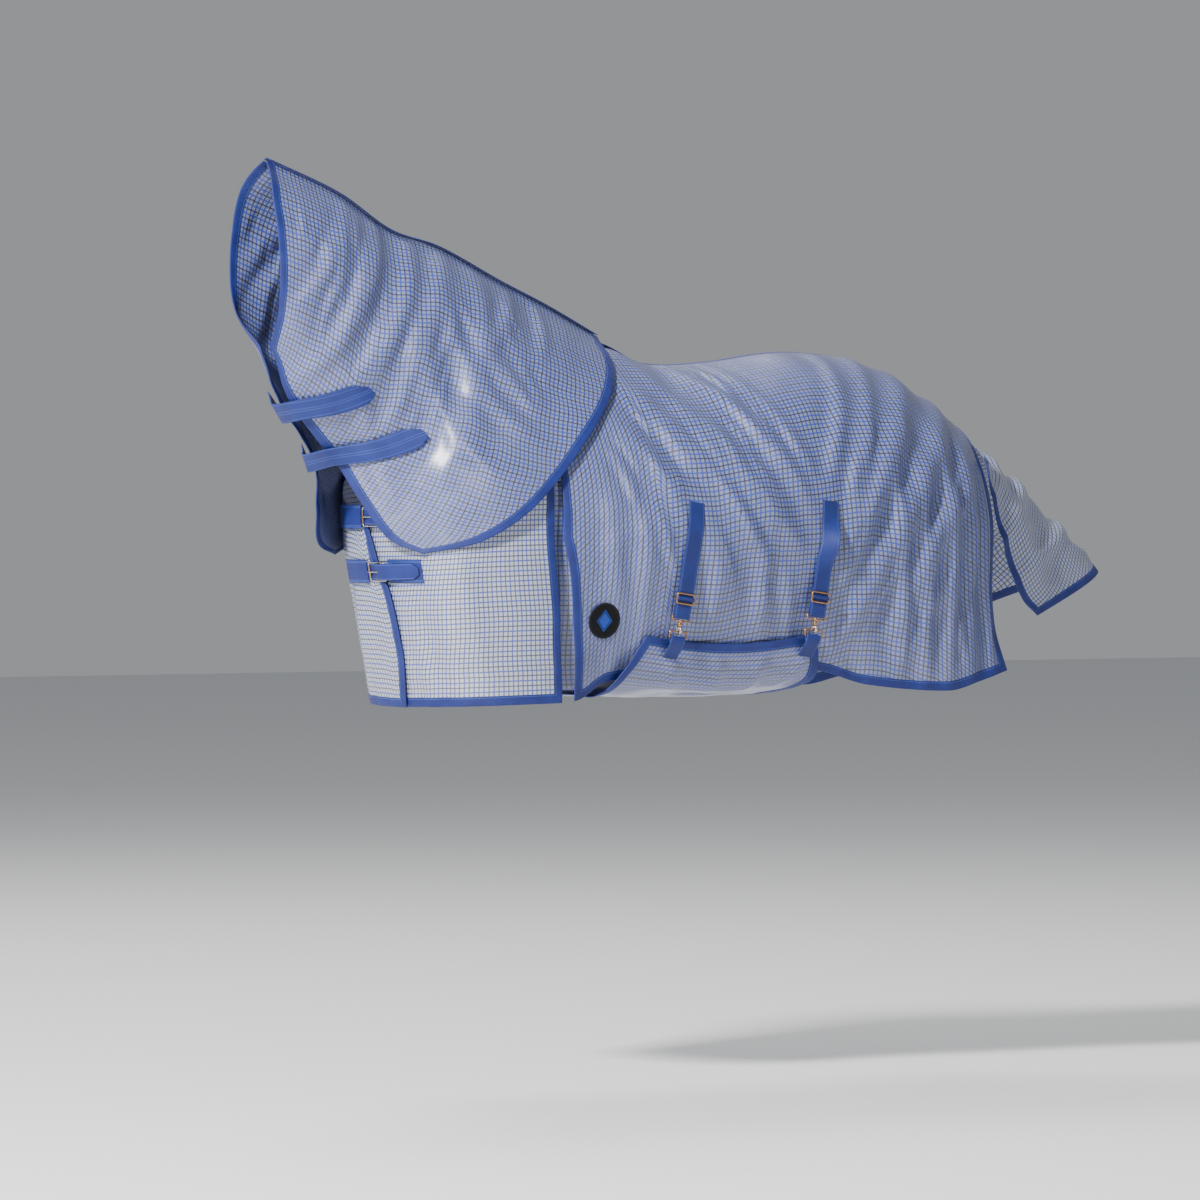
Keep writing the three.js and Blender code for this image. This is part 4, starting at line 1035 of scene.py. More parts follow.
@dataclass
class FlankPanels:
    """The two side panels, and the tape over the spine seam."""

    finishes: Finishes
    cells: tuple[int, int] = (150, 96)
    flat: tuple[float, float] = (1.24, 0.98)
    area: float = 1.06
    slit_top: float = -240.0
    slit_foot: float = -742.0
    slit_share: float = 0.4
    seam_half: float = 11.0
    calm: Pairs = ((-116, -310, 60), (240, -308, 50), (-118, -350, 42), (-124, -400, 42), (-132, -450, 42),
                   (-140, -500, 42), (236, -345, 44), (230, -385, 44), (222, -425, 40), (214, -465, 38),
                   (208, -505, 38), (-150, -600, 80), (203, -600, 80), (-330, -569, 80),
                   (-300, -60, 90), (-380, -170, 90), (-434, -260, 90), (40, -640, 80), (-60, -640, 70))
    guides: Guides = (
        (((-330, -120), (-190, -560)), ((-190, -30), (60, -440))),
        (((-160, -20), (90, -430)), ((90, 0), (225, -300))),
        (((420, 10), (235, -430)), ((600, -30), (300, -540))),
        (((640, -60), (360, -600)), ((740, -200), (520, -690))),
        (((420, -260), (440, -700)), ((740, -240), (735, -690))),
    )
    folds: tuple[Fold, ...] = (
        Fold((-226, -36), (60, -440), 30, 10, 22), Fold((-290, -110), (-20, -520), 26, 7, 15),
        Fold((-130, -20), (150, -400), 24, 9, -12), Fold((-30, -10), (200, -330), 22, 7, 12),
        Fold((90, 0), (225, -290), 18, 5, 6), Fold((579, -20), (262, -500), 28, 12, -22),
        Fold((470, 0), (240, -440), 20, 8, -12), Fold((690, -90), (330, -560), 30, 12, -28),
        Fold((380, 20), (228, -300), 18, 6, 0), Fold((740, -170), (430, -600), 26, 8, -24),
        Fold((340, -520), (262, -650), 18, 8, 0), Fold((190, -540), (250, -650), 16, 7, 0),
        Fold((430, -230), (455, -700), 22, 8, 8), Fold((520, -260), (530, -710), 20, 10, -6),
        Fold((600, -180), (590, -710), 22, 11, 10), Fold((675, -150), (655, -700), 20, 10, 8),
        Fold((735, -250), (728, -690), 15, 8, 0), Fold((-330, -300), (-300, -690), 24, 6, 10),
        Fold((-240, -330), (-215, -690), 20, 6, -8), Fold((-60, -430), (-70, -690), 22, 7, 0),
        Fold((60, -420), (70, -690), 20, 7, 0), Fold((120, -460), (160, -690), 18, 6, 6),
    )

    def plain(self, side: float) -> Surface:
        """Side panel: u from the shoulder slit to the rear edge, v from the spine or neckline to the hem."""

        def surface(u: Array, v: Array) -> Array:
            """Station blended from the slit to the rear edge; section share from the neckline to the hem."""
            height = lerp(self.slit_top, self.slit_foot, (v - self.slit_share) / (1 - self.slit_share))
            front = np.where(v < self.slit_share, SHAPE.chest_line + 1, SHAPE.slit_rear(height))
            x = lerp(front, SHAPE.rear_edge(v), u)
            return SHAPE.flank(x, lerp(SHAPE.neckline(x), 1, v), side)

        return beside_seam(surface, self.seam_half + 1)

    def cloth(self, side: float) -> FoldedCloth:
        """The side panel with its folds."""
        folds = self.folds + small_folds(3, 13, self.guides)
        folds = folds if side < 0 else mirrored(folds, RIGHT_LAP)
        drape = Drape(folds, seed=2 if side < 0 else 5, calm=self.calm)
        return FoldedCloth(self.plain(side), drape, side_layout, (None, -300), held_top=0.05)

    def spine_tape(self) -> Thing:
        """The seam tape: across it the height falls by a square from the spine line."""
        u, v = grid(160, 6)
        x, across = lerp(-160, 772, u), lerp(-self.seam_half - 2, self.seam_half + 2, v)
        points = np.stack([x, across, SHAPE.spine(x) + 1.2 - 0.012 * across**2], axis=-1)
        made = piece("spine_seam_tape", points, taped(points, across), self.finishes.seam_tape)
        return finish_piece(thicken(made, SEAM_TAPE), "root", "binding", "spine_tape")

    def build(self) -> list[Thing]:
        """Makes the tape and both bound panels."""
        made = [self.spine_tape()]
        for name, side in (("left", -1.0), ("right", 1.0)):
            panel = BoundPanel(f"{name}_side", self.cloth(side), self.finishes, self.cells, self.flat,
                               self.area, Hold.DRAPED, ("spine_seam_tape",), level_u=True)
            made += panel.build()
        return made


@dataclass
class ChestPanels:
    """The two chest panels, lapped over each other in front, and the gussets behind their slits."""

    finishes: Finishes
    cells: tuple[int, int] = (56, 66)
    lap: float = 7.0
    left_edge: float = 38.0
    right_edge: Knots = Knots(((-764, -34), (-706, -46), (-640, -58), (-508, -50), (-459, -27), (-396, -12),
                               (-338, 8)))
    calm: Pairs = ((-110, -345, 70), (-100, -460, 70), (0, -345, 60), (0, -460, 60), (60, -345, 70),
                   (70, -460, 70), (0, -560, 70), (0, -640, 70), (0, -720, 70), (-180, -260, 80),
                   (180, -260, 80))
    folds: tuple[Fold, ...] = (
        Fold((-100, -500), (-125, -740), 20, 6, 8), Fold((-170, -380), (-185, -735), 22, 7, -10),
        Fold((-225, -300), (-232, -740), 18, 6, 6), Fold((-245, -180), (-180, -430), 20, 5, 10),
        Fold((-70, -520), (-60, -745), 16, 5, -4),
    )

    def plain(self, side: float) -> Surface:
        """Chest panel: u from the slit to the front edge, v from the neckline to the hem."""

        def surface(u: Array, v: Array) -> Array:
            """Turn round the chest blended from slit to front edge; the lap lifts it off its neighbour."""
            turn = 1 - u
            z = lerp(SHAPE.chest_neckline(turn), SHAPE.chest_hem(turn), v)
            share = np.clip((SHAPE.chest_line - SHAPE.slit_front(z)) / SHAPE.reach(z), 0.001, 1)
            rear = np.arccos(share ** (SHAPE.roundness / 2)) * 2 / np.pi
            edge_y = np.full_like(z, self.left_edge) if side < 0 else self.right_edge(z)
            edge = np.arcsin((np.abs(edge_y) / SHAPE.shoulder(z)) ** (SHAPE.roundness / 2)) * 2 / np.pi
            p = SHAPE.chest(lerp(rear, np.sign(edge_y * side) * edge, u), z, side)
            away = unit((p - [SHAPE.chest_line, 0, 0]) * [1, 1, 0])
            return p + away * ((self.lap if side > 0 else 0) * smooth(u * 2.5 - 1.1))[..., None]

        return surface

    def gusset(self, side: float) -> Surface:
        """Gusset: u across the slit, v from apex to hem; it sinks by a sine across that grows downwards."""

        def surface(u: Array, v: Array) -> Array:
            """Side of the rug at the blended station, moved in towards the horse."""
            z = lerp(-262, -722, v)
            x = lerp(SHAPE.slit_front(z) - 14, SHAPE.slit_rear(z) + 14, u)
            p = SHAPE.side(x, z, side)
            pleat = 9 + 26 * np.sin(np.pi * u) * v + 2.5 * np.sin(3 * np.pi * u + 5 * v) * v
            return p - np.stack([0 * pleat, side * pleat, 0 * pleat], axis=-1)

        return surface

    def build(self) -> list[Thing]:
        """Makes both chest panels and both gussets."""
        made = []
        for name, side in (("left", -1.0), ("right", 1.0)):
            folds = self.folds if side < 0 else tuple(
                replace(f, start=(-f.start[0], f.start[1]), end=(6 - f.end[0], f.end[1]), bow=-f.bow)
                for f in self.folds
            )
            drape = Drape(folds, seed=8 if side < 0 else 9, unevenness=1.1, calm=self.calm, most=10)
            cloth = FoldedCloth(self.plain(side), drape, front_layout, (SHAPE.chest_line, -500))
            panel = BoundPanel(f"{name}_chest", cloth, self.finishes, self.cells, (0.50, 0.60), 0.265,
                               Hold.HUNG, (f"{name}_side_cloth", f"{name}_neck_cloth"), sees_light=True,
                               from_hem=True)
            made += panel.build()
            u, v = grid(14, 60)
            points = evaluate(self.gusset(side), u, v)
            pleat = thicken(piece(f"{name}_gusset_cloth", points, woven(points), self.finishes.cloth), CLOTH)
            finish_piece(pleat, "root", "mesh_cloth", f"{name}_shoulder_gusset")
            made.append(pleat)
        return made


FACE_EDGE = ((-1028, 0, 441), (-1051, 70, 369), (-1054, 105, 234), (-1052, 98, 121))


@dataclass
class NeckCover:
    """The two neck panels, the mane tape, and the tabs that close the cover under the throat."""

    finishes: Finishes
    cells: tuple[int, int] = (104, 84)
    crest_points: Pairs = ((-1028, 0, 441), (-845, 0, 369), (-711, 0, 290), (-590, 0, 256), (-429, 0, 182),
                           (-300, 0, 126), (-172, 0, 63))
    left_throat: Pairs = ((-1031, 30, 27), (-985, 30, -90), (-930, 32, -160), (-864, 30, -227),
                          (-822, 70, -317), (-779, 112, -390), (-733, 170, -420))
    right_throat: Pairs = ((-1031, 10, 27), (-985, 4, -90), (-930, 8, -160), (-884, 30, -232),
                           (-862, 60, -320), (-835, 100, -398), (-752, 172, -424))
    base: Pairs = ((-212, -16), (-272, -86), (-368, -176), (-455, -262), (-550, -342), (-640, -394))
    lift: float = 9.0
    ease: float = 14.0
    mane_half: float = 9.0
    tabs: tuple[tuple[str, float, float], ...] = (("upper", 0.24, 0.16), ("lower", 0.47, 0.14))
    tab_reach: float = 0.3
    tab_root: float = 0.1
    tab_half: float = 0.041
    folds: tuple[Fold, ...] = (
        Fold((-669, 290), (-905, -110), 28, 10, 18), Fold((-760, 310), (-985, -40), 22, 8, 12),
        Fold((-600, 230), (-800, -170), 26, 10, -16), Fold((-520, 190), (-720, -280), 26, 9, 22),
        Fold((-640, 130), (-480, -170), 24, 8, -45), Fold((-560, 80), (-450, -110), 20, 7, -32),
        Fold((-850, 330), (-1020, 110), 18, 6, 8), Fold((-900, -20), (-780, -320), 18, 7, 12),
        Fold((-720, 60), (-610, -240), 22, 8, -30), Fold((-430, 150), (-560, 20), 18, 6, 8),
        Fold((-350, 130), (-420, 0), 15, 5, 4),
    )
    guides: Guides = (
        (((-980, 400), (-1030, 60)), ((-760, 300), (-960, -60))),
        (((-740, 290), (-920, -110)), ((-520, 190), (-740, -280))),
        (((-640, 180), (-500, -170)), ((-440, 140), (-400, -60))),
    )
    calm: Pairs = ((-260, -50, 60), (-330, -120, 70), (-420, -210, 75), (-520, -300, 75), (-620, -370, 70),
                   (-212, 10, 60), (-700, -400, 60), (-910, -82, 42), (-865, -72, 42), (-870, -200, 42),
                   (-800, -182, 42), (-740, -168, 42))

    def plain(self, side: float) -> Surface:
        """Neck panel: a Coons blend of its edges, u from the face edge to the shoulder, v crest to throat.

        Opposite edges are blended, added, and the straight blend of the corners is taken away; then
        the cloth is eased outwards so that it lies on the shoulder.
        """
        turn = np.array([1, side, 1])
        throat = np.array(self.left_throat if side < 0 else self.right_throat, float) * turn
        crest, lower = SpaceCurve(self.crest_points), SpaceCurve(throat)
        face = SpaceCurve(np.concatenate([np.array(FACE_EDGE, float) * turn, throat[:1]]))
        x, z = np.array(self.base, float).T
        base = SHAPE.side(x, z, 1) + [0, self.lift, 0]
        shoulder = SpaceCurve(np.concatenate([[self.crest_points[-1]], base * turn, throat[-1:]]))
        corners = [crest(0.0), crest(1.0), lower(0.0), lower(1.0)]

        def surface(u: Array, v: Array) -> Array:
            """The blend at (u, v)."""
            a, b = u[..., None], v[..., None]
            ends, rails = lerp(face(v), shoulder(v), a), lerp(crest(u), lower(u), b)
            flat = lerp(lerp(corners[0], corners[1], a), lerp(corners[2], corners[3], a), b)
            p = ends + rails - flat
            gap = np.abs(p[..., 1]) - SHAPE.side(p[..., 0], p[..., 2], 1)[..., 1] - self.lift
            push = side * (np.hypot(gap, self.ease) - gap) / 2 * smooth(v * 8)
            return p + push[..., None] * [0, 1, 0]

        return beside_seam(surface, self.mane_half + 1)

    def cloth(self, side: float) -> FoldedCloth:
        """The neck panel with its folds."""
        folds = self.folds + small_folds(6, 12, self.guides, 3.4)
        folds = folds if side < 0 else mirrored(folds, -12)
        drape = Drape(folds, seed=21 if side < 0 else 24, calm=self.calm, most=13)
        return FoldedCloth(self.plain(side), drape, side_layout, (None, 0), held_top=0.06)

    def over(self, cloth: FoldedCloth, u: Array, v: Array, lift: float) -> Array:
        """Points a lift outside a neck panel, with as much again away from the throat near its edge."""
        p, normal = cloth(u, v), surface_normal(cloth, u, v)
        away = np.stack([np.full_like(u, -60.0), p[..., 1], np.full_like(u, -90.0)], axis=-1)
        sign = np.sign(np.sum(normal * away, axis=-1))
        ahead = unit(away * [1, 0, 1])
        return p + normal * (lift * sign)[..., None] + ahead * (lift * smooth(v * 4 - 3))[..., None]

    def tab(self, name: str, station: float, swing: float, left: FoldedCloth, right: FoldedCloth) -> Thing:
        """A tab of wide webbing from its sewn end on the right panel to its chamfered end on the left."""
        rails = []
        for across in (-self.tab_half, self.tab_half):
            root = np.linspace(0, 1, 6)[:-1]
            reach = np.linspace(0, 1, 16)
            sewn = np.full_like(root, station + across), 1 - self.tab_root * (1 - root)
            start = self.over(right, *sewn, 12.0)
            end = self.over(left, station + swing * reach + across, 1 - self.tab_reach * reach, 5.6)
            rails.append(SpaceCurve(np.concatenate([start, end])))
        made = strip(f"{name}_tab_webbing", rails[0], rails[1], 90, 8, 2.4, self.finishes.tab, tip=0.1)
        return finish_piece(made, f"{name}_tab", "webbing", f"{name}_neck_tab")

    def pad(self, name: str, station: float, swing: float, left: FoldedCloth) -> Thing:
        """The soft pad under a tab's free end."""
        u, v = grid(10, 24)
        reach = lerp(0.45, 0.95, v)
        at = (station + swing * reach + lerp(-0.03, 0.03, u)).ravel(), (1 - self.tab_reach * reach).ravel()
        points = self.over(left, *at, 3.0).reshape(*u.shape, 3)
        uv = np.stack([run_lengths(points, 1), run_lengths(points, 0)], axis=-1) * MM
        made = thicken(piece(f"{name}_pad_loops", points, uv, self.finishes.seam_tape), 1.4)
        return finish_piece(made, "root", "binding", f"{name}_loop_pad")

    def mane_tape(self) -> Thing:
        """The seam tape along the crest, lower by a square across it."""
        u, v = grid(120, 6)
        crest = SpaceCurve(self.crest_points)(lerp(0.002, 0.996, u).ravel()).reshape(*u.shape, 3)
        across = lerp(-self.mane_half - 3, self.mane_half + 3, v)
        points = crest + np.stack([0 * across, across, 1.5 - 0.022 * across**2], axis=-1)
        made = piece("mane_seam_tape", points, taped(points, across), self.finishes.seam_tape)
        return finish_piece(thicken(made, SEAM_TAPE), "root", "binding", "mane_tape")

    def attachment(self, name: str, side: float) -> Thing:
        """The tab that joins the cover to the rug at the withers: a patch of the flank, lifted off it."""
        u, v = grid(4, 18)
        at = lerp(-268, -240, u), lerp(0.17, 0.25, v)
        points = SHAPE.flank(*at, side)
        lifted = points + [0, side * 5, 2.0]
        uv = np.stack([run_lengths(points, 1), (u - 0.5) * 28], axis=-1) * MM
        made = thicken(piece(f"{name}_cover_tab", lifted, uv, self.finishes.strap), WEBBING)
        return finish_piece(made, "root", "webbing", f"{name}_attachment_tab")

    def build(self) -> list[Thing]:
        """Makes the panels, the tape, the tabs and their pads."""
        cloths = {name: self.cloth(side) for name, side in (("left", -1.0), ("right", 1.0))}
        made = [self.mane_tape()]
        for name, cloth in cloths.items():
            panel = BoundPanel(f"{name}_neck", cloth, self.finishes, self.cells, (0.98, 0.80), 0.50,
                               Hold.DRAPED, ("mane_seam_tape", f"{name}_side_cloth"))
            made += panel.build()
        for name, station, swing in self.tabs:
            made.append(self.tab(name, station, swing, cloths["left"], cloths["right"]))
            made.append(self.pad(name, station, swing, cloths["left"]))
        return made + [self.attachment("left", -1.0), self.attachment("right", 1.0)]


@dataclass
class BellyWrap:
    """The wrap that passes under the belly from the left surcingles to the right hem."""

    finishes: Finishes
    cells: tuple[int, int] = (66, 150)
    front: Knots = Knots(((0, -224), (0.2, -300), (0.3, -318), (1, -318)))
    rear: Knots = Knots(((0, 222), (0.2, 240), (0.3, 232), (1, 200)))
    folds: tuple[Fold, ...] = (
        Fold((-160, 20), (-120, 150), 16, 4, 5), Fold((205, 30), (160, 160), 16, 4, -5),
        Fold((-40, 10), (-20, 150), 18, 4, 0), Fold((90, 20), (70, 170), 18, 4, 0),
        Fold((-250, 200), (150, 380), 34, 8, 20), Fold((-200, 420), (190, 300), 30, 7, 0),
        Fold((-260, 520), (100, 640), 34, 8, -10), Fold((150, 500), (-100, 700), 28, 6, 0),
    )

    def plain(self, u: Array, v: Array) -> Array:
        """Wrap: u from front to rear, v from the left upper edge under the belly to the right hem.

        At each station the section is a Catmull-Rom curve through seven places, run through by the
        chord lengths of the middle station.
        """
        x = lerp(self.front(v), self.rear(v), u)
        upper = lerp(-606, -626, np.sin(np.pi * u))
        hem_y, hem = SHAPE.flank(x, np.ones_like(x), 1)[..., 1], SHAPE.hem(x)
        top = SHAPE.side(x, upper, 1)[..., 1] + 11
        places = ((-top, upper), (-hem_y - 22, hem + 10), (-hem_y + 14, hem - 26), (x * 0 - 120, x * 0 - 736),
                  (x * 0 + 120, x * 0 - 736), (hem_y - 40, hem - 20), (hem_y + 1, hem - 6.5))
        knots = np.stack([np.stack([x, y, z], axis=-1) for y, z in places])
        chords = np.array([92, 49, 112, 240, 112, 46], float)
        so_far = np.concatenate([[0], np.cumsum(chords)])
        return catmull(knots, np.interp(v * so_far[-1], so_far, np.arange(7)))

    def build(self) -> list[Thing]:
        """Makes the bound wrap."""
        drape = Drape(self.folds, seed=31, unevenness=1.2, most=9)
        cloth = FoldedCloth(self.plain, drape, wrap_layout, (None, -500), held_top=0.1)
        panel = BoundPanel("belly_wrap", cloth, self.finishes, self.cells, (0.56, 0.66), 0.34, Hold.HUNG,
                           ("right_side_cloth", "front_ring_wire", "rear_ring_wire"),
                           BoundEdges(top=True, bottom=False), ((0, 1), (0, 0), (1, 0), (1, 1)))
        return panel.build()


@dataclass
class TailFlap:
    """The flap over the tail, hinged at the dock."""

    finishes: Finishes
    cells: tuple[int, int] = (72, 80)
    ridge_points: Pairs = ((796, 0, -164), (926, 0, -236), (1076, 0, -352), (1214, 0, -472))
    edge_points: Pairs = ((778, 178, -218), (800, 186, -351), (832, 180, -441), (884, 166, -531),
                          (940, 150, -572))
    folds: tuple[Fold, ...] = (
        Fold((-165, 120), (40, 70), 20, 7, 12), Fold((-180, 250), (150, 200), 22, 9, -20),
        Fold((-150, 380), (150, 330), 22, 9, 18), Fold((-120, 90), (-140, 500), 18, 8, 10),
        Fold((60, 110), (115, 500), 18, 7, -8), Fold((-60, 430), (60, 540), 18, 7, 6),
        Fold((150, 120), (20, 330), 18, 6, 8),
    )

    def plain(self, u: Array, v: Array) -> Array:
        """Flap: u from the left edge over the tail to the right edge, v from the dock to its hem.

        Heights and stations are blended from the ridge to the edge by the 1.7th power of the spread,
        and the distance from the centre plane grows by its 0.85th power.
        """
        across = 2 * u - 1
        spread = np.abs(across)
        ridge, edge = SpaceCurve(self.ridge_points)(v), SpaceCurve(self.edge_points)(v)
        p = lerp(ridge, edge, (spread**1.7)[..., None])
        return np.stack([p[..., 0], np.sign(across) * edge[..., 1] * spread**0.85, p[..., 2]], axis=-1)

    def build(self) -> list[Thing]:
        """Makes the bound flap, which rides on its own body."""
        drape = Drape(self.folds, seed=41, unevenness=1.2, most=12)
        cloth = FoldedCloth(self.plain, drape, flap_layout, (700, -700), held_top=0.12)
        panel = BoundPanel("tail_flap", cloth, self.finishes, self.cells, (0.62, 0.54), 0.25, Hold.HUNG,
                           ("left_side_tape", "right_side_tape"), body="tail_flap", sees_light=True)
        return panel.build()


# ---------------------------------------------------------------- straps and fittings


@dataclass(frozen=True)
class LocalFrame:
    """A place with three unit directions, to lay out fittings in."""

    origin: Array
    x: Array
    y: Array
    z: Array

    def __call__(self, local: Array) -> Array:
        """Local points [..., 3] at their places."""
        return self.origin + local[..., :1] * self.x + local[..., 1:2] * self.y + local[..., 2:] * self.z

    def flat(self, x: Array, z: Array) -> Array:
        """Points in the frame's X and Z plane."""
        return self(np.stack(np.broadcast_arrays(x, 0.0, z), axis=-1))


def left_side_frame(x: float, z: float, offset: float) -> LocalFrame:
    """Frame on the left side: X down the cloth, Y along the horse, Z out of the cloth by offset."""
    ahead = SHAPE.side(x + 20, z, -1) - SHAPE.side(x - 20, z, -1)
    down = unit(SHAPE.side(x, z - 20, -1) - SHAPE.side(x, z + 20, -1))
    out = unit(np.cross(down, ahead))
    return LocalFrame(SHAPE.side(x, z, -1) + out * offset, down, np.cross(out, down), out)


@dataclass
class Surcingle:
    """A surcingle with its slider, snap hook, and the ring and tab of the belly wrap."""

    name: str
    top: tuple[float, float]
    end: tuple[float, float]
    finishes: Finishes
    width: float = 41.0
    widest: float = -385.0
    slider_at: float = -45.0
    slider_rise: float = 6.2
    eye_length: float = 12.0
    hook_centre: float = 25.5
    hook_radius: float = 8.1
    ring_length: float = 17.0
    ring_at: float = 35.8
    twist: float = 0.0

    def frame(self) -> LocalFrame:
        """Frame of the taut strap: X down it from the eye, Y along the horse, Z out of the cloth."""
        upper = left_side_frame(lerp(self.top[0], self.end[0], 0.3), self.widest, 5).origin
        eye = left_side_frame(*self.end, 24).origin
        down = unit(eye - upper)
        out = unit(np.cross(down, [1.0, 0, 0]))
        return LocalFrame(eye, down, np.cross(out, down), out)

    def loop(self, at: float, radius: float, direction: float, sign: float) -> list[tuple[float, float]]:
        """Half circle round a bar, as pairs of distance down the strap and height off it."""
        angle = np.radians(np.arange(90, -91, -30))
        return list(zip(at + direction * radius * np.cos(angle), sign * radius * np.sin(angle)))

    def web(self, place: LocalFrame) -> Thing:
        """The strap: sewn to the cloth, through the slider, round the eye and back behind."""
        top, end = np.array(self.top), np.array(self.end)
        sewn = [left_side_frame(*lerp(top, end, t), offset).origin
                for t, offset in ((0.0, 2.5), (0.12, 3.4), (0.24, 4.4))]
        run = [(-110, 0.4), (-75, 2.6), (-45, 2.6), (-15, 2.9), *self.loop(-4.4, 3.6, 1, 1), (-15, -2.9),
               (-45, -2.6), (-72, -2.4)]
        path = SpaceCurve(np.array([*sewn, *(place.flat(x, z) for x, z in run)]))
        t = np.linspace(0, 1, 150)
        middle = path(t)
        tangent = unit(np.gradient(middle, axis=0))
        turn = self.twist * np.exp(-(((t - 0.27) / 0.11) ** 2))
        middle = middle + (np.sin(np.abs(turn)) * self.width / 2)[:, None] * place.z
        side = np.cos(turn)[:, None] * place.y + np.sin(turn)[:, None] * np.cross(tangent, place.y)
        rails = [middle + side * half for half in (-self.width / 2, self.width / 2)]
        u, v = grid(149, 8)
        points = lerp(rails[0][:, None], rails[1][:, None], v[..., None])
        uv = taped(points, (v - 0.5) * self.width)
        made = thicken(piece(f"{self.name}_surcingle_strap", points, uv, self.finishes.strap), WEBBING, 0.5)
        return finish_piece(made, "root", "webbing", f"{self.name}_surcingle_web")

    def slider(self, place: LocalFrame) -> list[Thing]:
        """The slider: an oblong of wire in front, a strap-wrapped middle bar, and a bar behind on posts."""
        reach, finish, body = self.width / 2 + 2.5, self.finishes.brass, f"{self.name}_adjuster"
        outline = oblong(22, 2 * reach, 3.5) + [self.slider_at, 0]
        ring = place(np.concatenate([outline, np.full((len(outline), 1), self.slider_rise)], axis=1))
        made = [finish_piece(swept(f"{self.name}_slider_frame", ring, (2.1, 1.8), finish, True), body,
                             "brass", f"{self.name}_slider")]
        wrap = place(np.linspace((0, 1.5 - reach, 6.2), (0, reach - 1.5, 6.2), 5) + [self.slider_at, 0, 0])
        sleeve = self.rod(f"{self.name}_slider_sleeve", wrap, 4.2, self.finishes.strap)
        made.append(finish_piece(sleeve, body, "webbing"))
        bars = (("back_bar", ((0, -reach, 0), (0, reach, 0)), 1.4),
                ("near_post", ((0, -reach, -1), (0, -reach, 6.2)), 1.5),
                ("far_post", ((0, reach, -1), (0, reach, 6.2)), 1.5))
        for part, ends, radius in bars:
            line = place(np.linspace(*np.array(ends, float), 5) + [self.slider_at, 0, 0])
            bar = self.rod(f"{self.name}_slider_{part}", line, radius, finish)
            made.append(finish_piece(bar, body, "brass"))
        return made

    def rod(self, name: str, line: Array, radius: float, finish: Material) -> Thing:
        """A straight round bar with eased ends, along a line of points."""
        axis = unit(line[-1] - line[0])
        side = unit(np.cross(axis, [0.31, 0.2, 0.93]))
        place = LocalFrame(line[0], axis, side, np.cross(axis, side))
        length = float(np.linalg.norm(line[-1] - line[0]))
        profile = ((-0.4, radius * 0.6), (0.4, radius), (length - 0.4, radius), (length + 0.4, radius * 0.6))
        return turned(name, profile, place, finish)

    def arc(self, place: LocalFrame, start: float, end: float, count: int) -> Array:
        """Points on the hook's circle between two angles in degrees."""
        angle = np.radians(np.linspace(start, end, count))
        return place.flat(self.hook_centre + self.hook_radius * np.cos(angle),
                          self.hook_radius * np.sin(angle))

    def snap(self, place: LocalFrame) -> list[Thing]:
        """The snap hook: the strap's eye with its swivel post, the hook's round and its gate."""
        brass, hook = self.finishes.brass, f"{self.name}_snap"
        outline = oblong(self.eye_length - 3.2, self.width + 5.8, 3)
        eye = place(np.concatenate([outline, np.zeros((len(outline), 1))], axis=1))
        made = [finish_piece(swept(f"{self.name}_eye_loop", eye, (1.95, 1.9), brass, True), "root", "brass",
                             f"{self.name}_snap_eye")]
        post = ((3.6, 5.0), (6.0, 5.4), (8.4, 4.6), (8.9, 2.5), (21.0, 2.4), (21.2, 3.6), (22.6, 3.9),
                (23.2, 3.0))
        made.append(finish_piece(turned(f"{self.name}_swivel_post", post, place, brass), "root", "brass"))
        collar = ((9.6, 3.4), (10.2, 5.0), (12.0, 5.6), (15.5, 5.4), (17.8, 4.6), (18.2, 3.4))
        made.append(finish_piece(turned(f"{self.name}_hook_collar", collar, place, brass), hook, "brass",
                                 f"{self.name}_snap_hook"))
        thick = lerp(2.4, 1.5, smooth(np.linspace(-0.4, 1, 48)))
        arc = self.arc(place, 162, 446, 48)
        hook_round = swept(f"{self.name}_hook_round", arc, (thick, 3.1), self.finishes.nickel)
        made.append(finish_piece(hook_round, hook, "nickel"))
        arc = self.arc(place, 98, 145, 12)
        gate = swept(f"{self.name}_gate_lever", arc, (1.3, 2.4), self.finishes.nickel)
        made.append(finish_piece(gate, f"{self.name}_gate", "nickel", f"{self.name}_snap_gate"))
        return made

    def ring(self, place: LocalFrame) -> list[Thing]:
        """The wrap's wire ring, and the tab of webbing that holds it."""
        outline = oblong(self.ring_length - 3, self.width + 6, 4) + [self.ring_at, 0]
        wire = place(np.concatenate([outline, np.zeros((len(outline), 1))], axis=1))
        made = [finish_piece(swept(f"{self.name}_ring_wire", wire, (1.8, 1.8), self.finishes.brass, True),
                             f"{self.name}_ring", "brass", f"{self.name}_wrap_ring")]
        bar = self.ring_at + (self.ring_length - 3) / 2
        run = [(bar + 12, -1.6), *self.loop(bar, 3, -1, -1), (bar + 12, 1.6)]
        anchor = left_side_frame(float(place.flat(np.array(bar), np.array(0.0))[0]), -648, 19).origin
        middle = SpaceCurve(np.array([*(place.flat(x, z) for x, z in run), anchor]))(np.linspace(0, 1, 70))
        u, v = grid(69, 6)
        width = self.width - 4
        points = middle[:, None] + ((v - 0.5) * width)[..., None] * place.y
        uv = taped(points, (v - 0.5) * width)
        web = thicken(piece(f"{self.name}_ring_tab", points, uv, self.finishes.strap), 1.7, 0.4)
        return made + [finish_piece(web, "root", "webbing", f"{self.name}_wrap_tab")]

    def build(self) -> list[Thing]:
        """Makes the strap and all its fittings."""
        place = self.frame()
        return [self.web(place), *self.slider(place), *self.snap(place), *self.ring(place)]


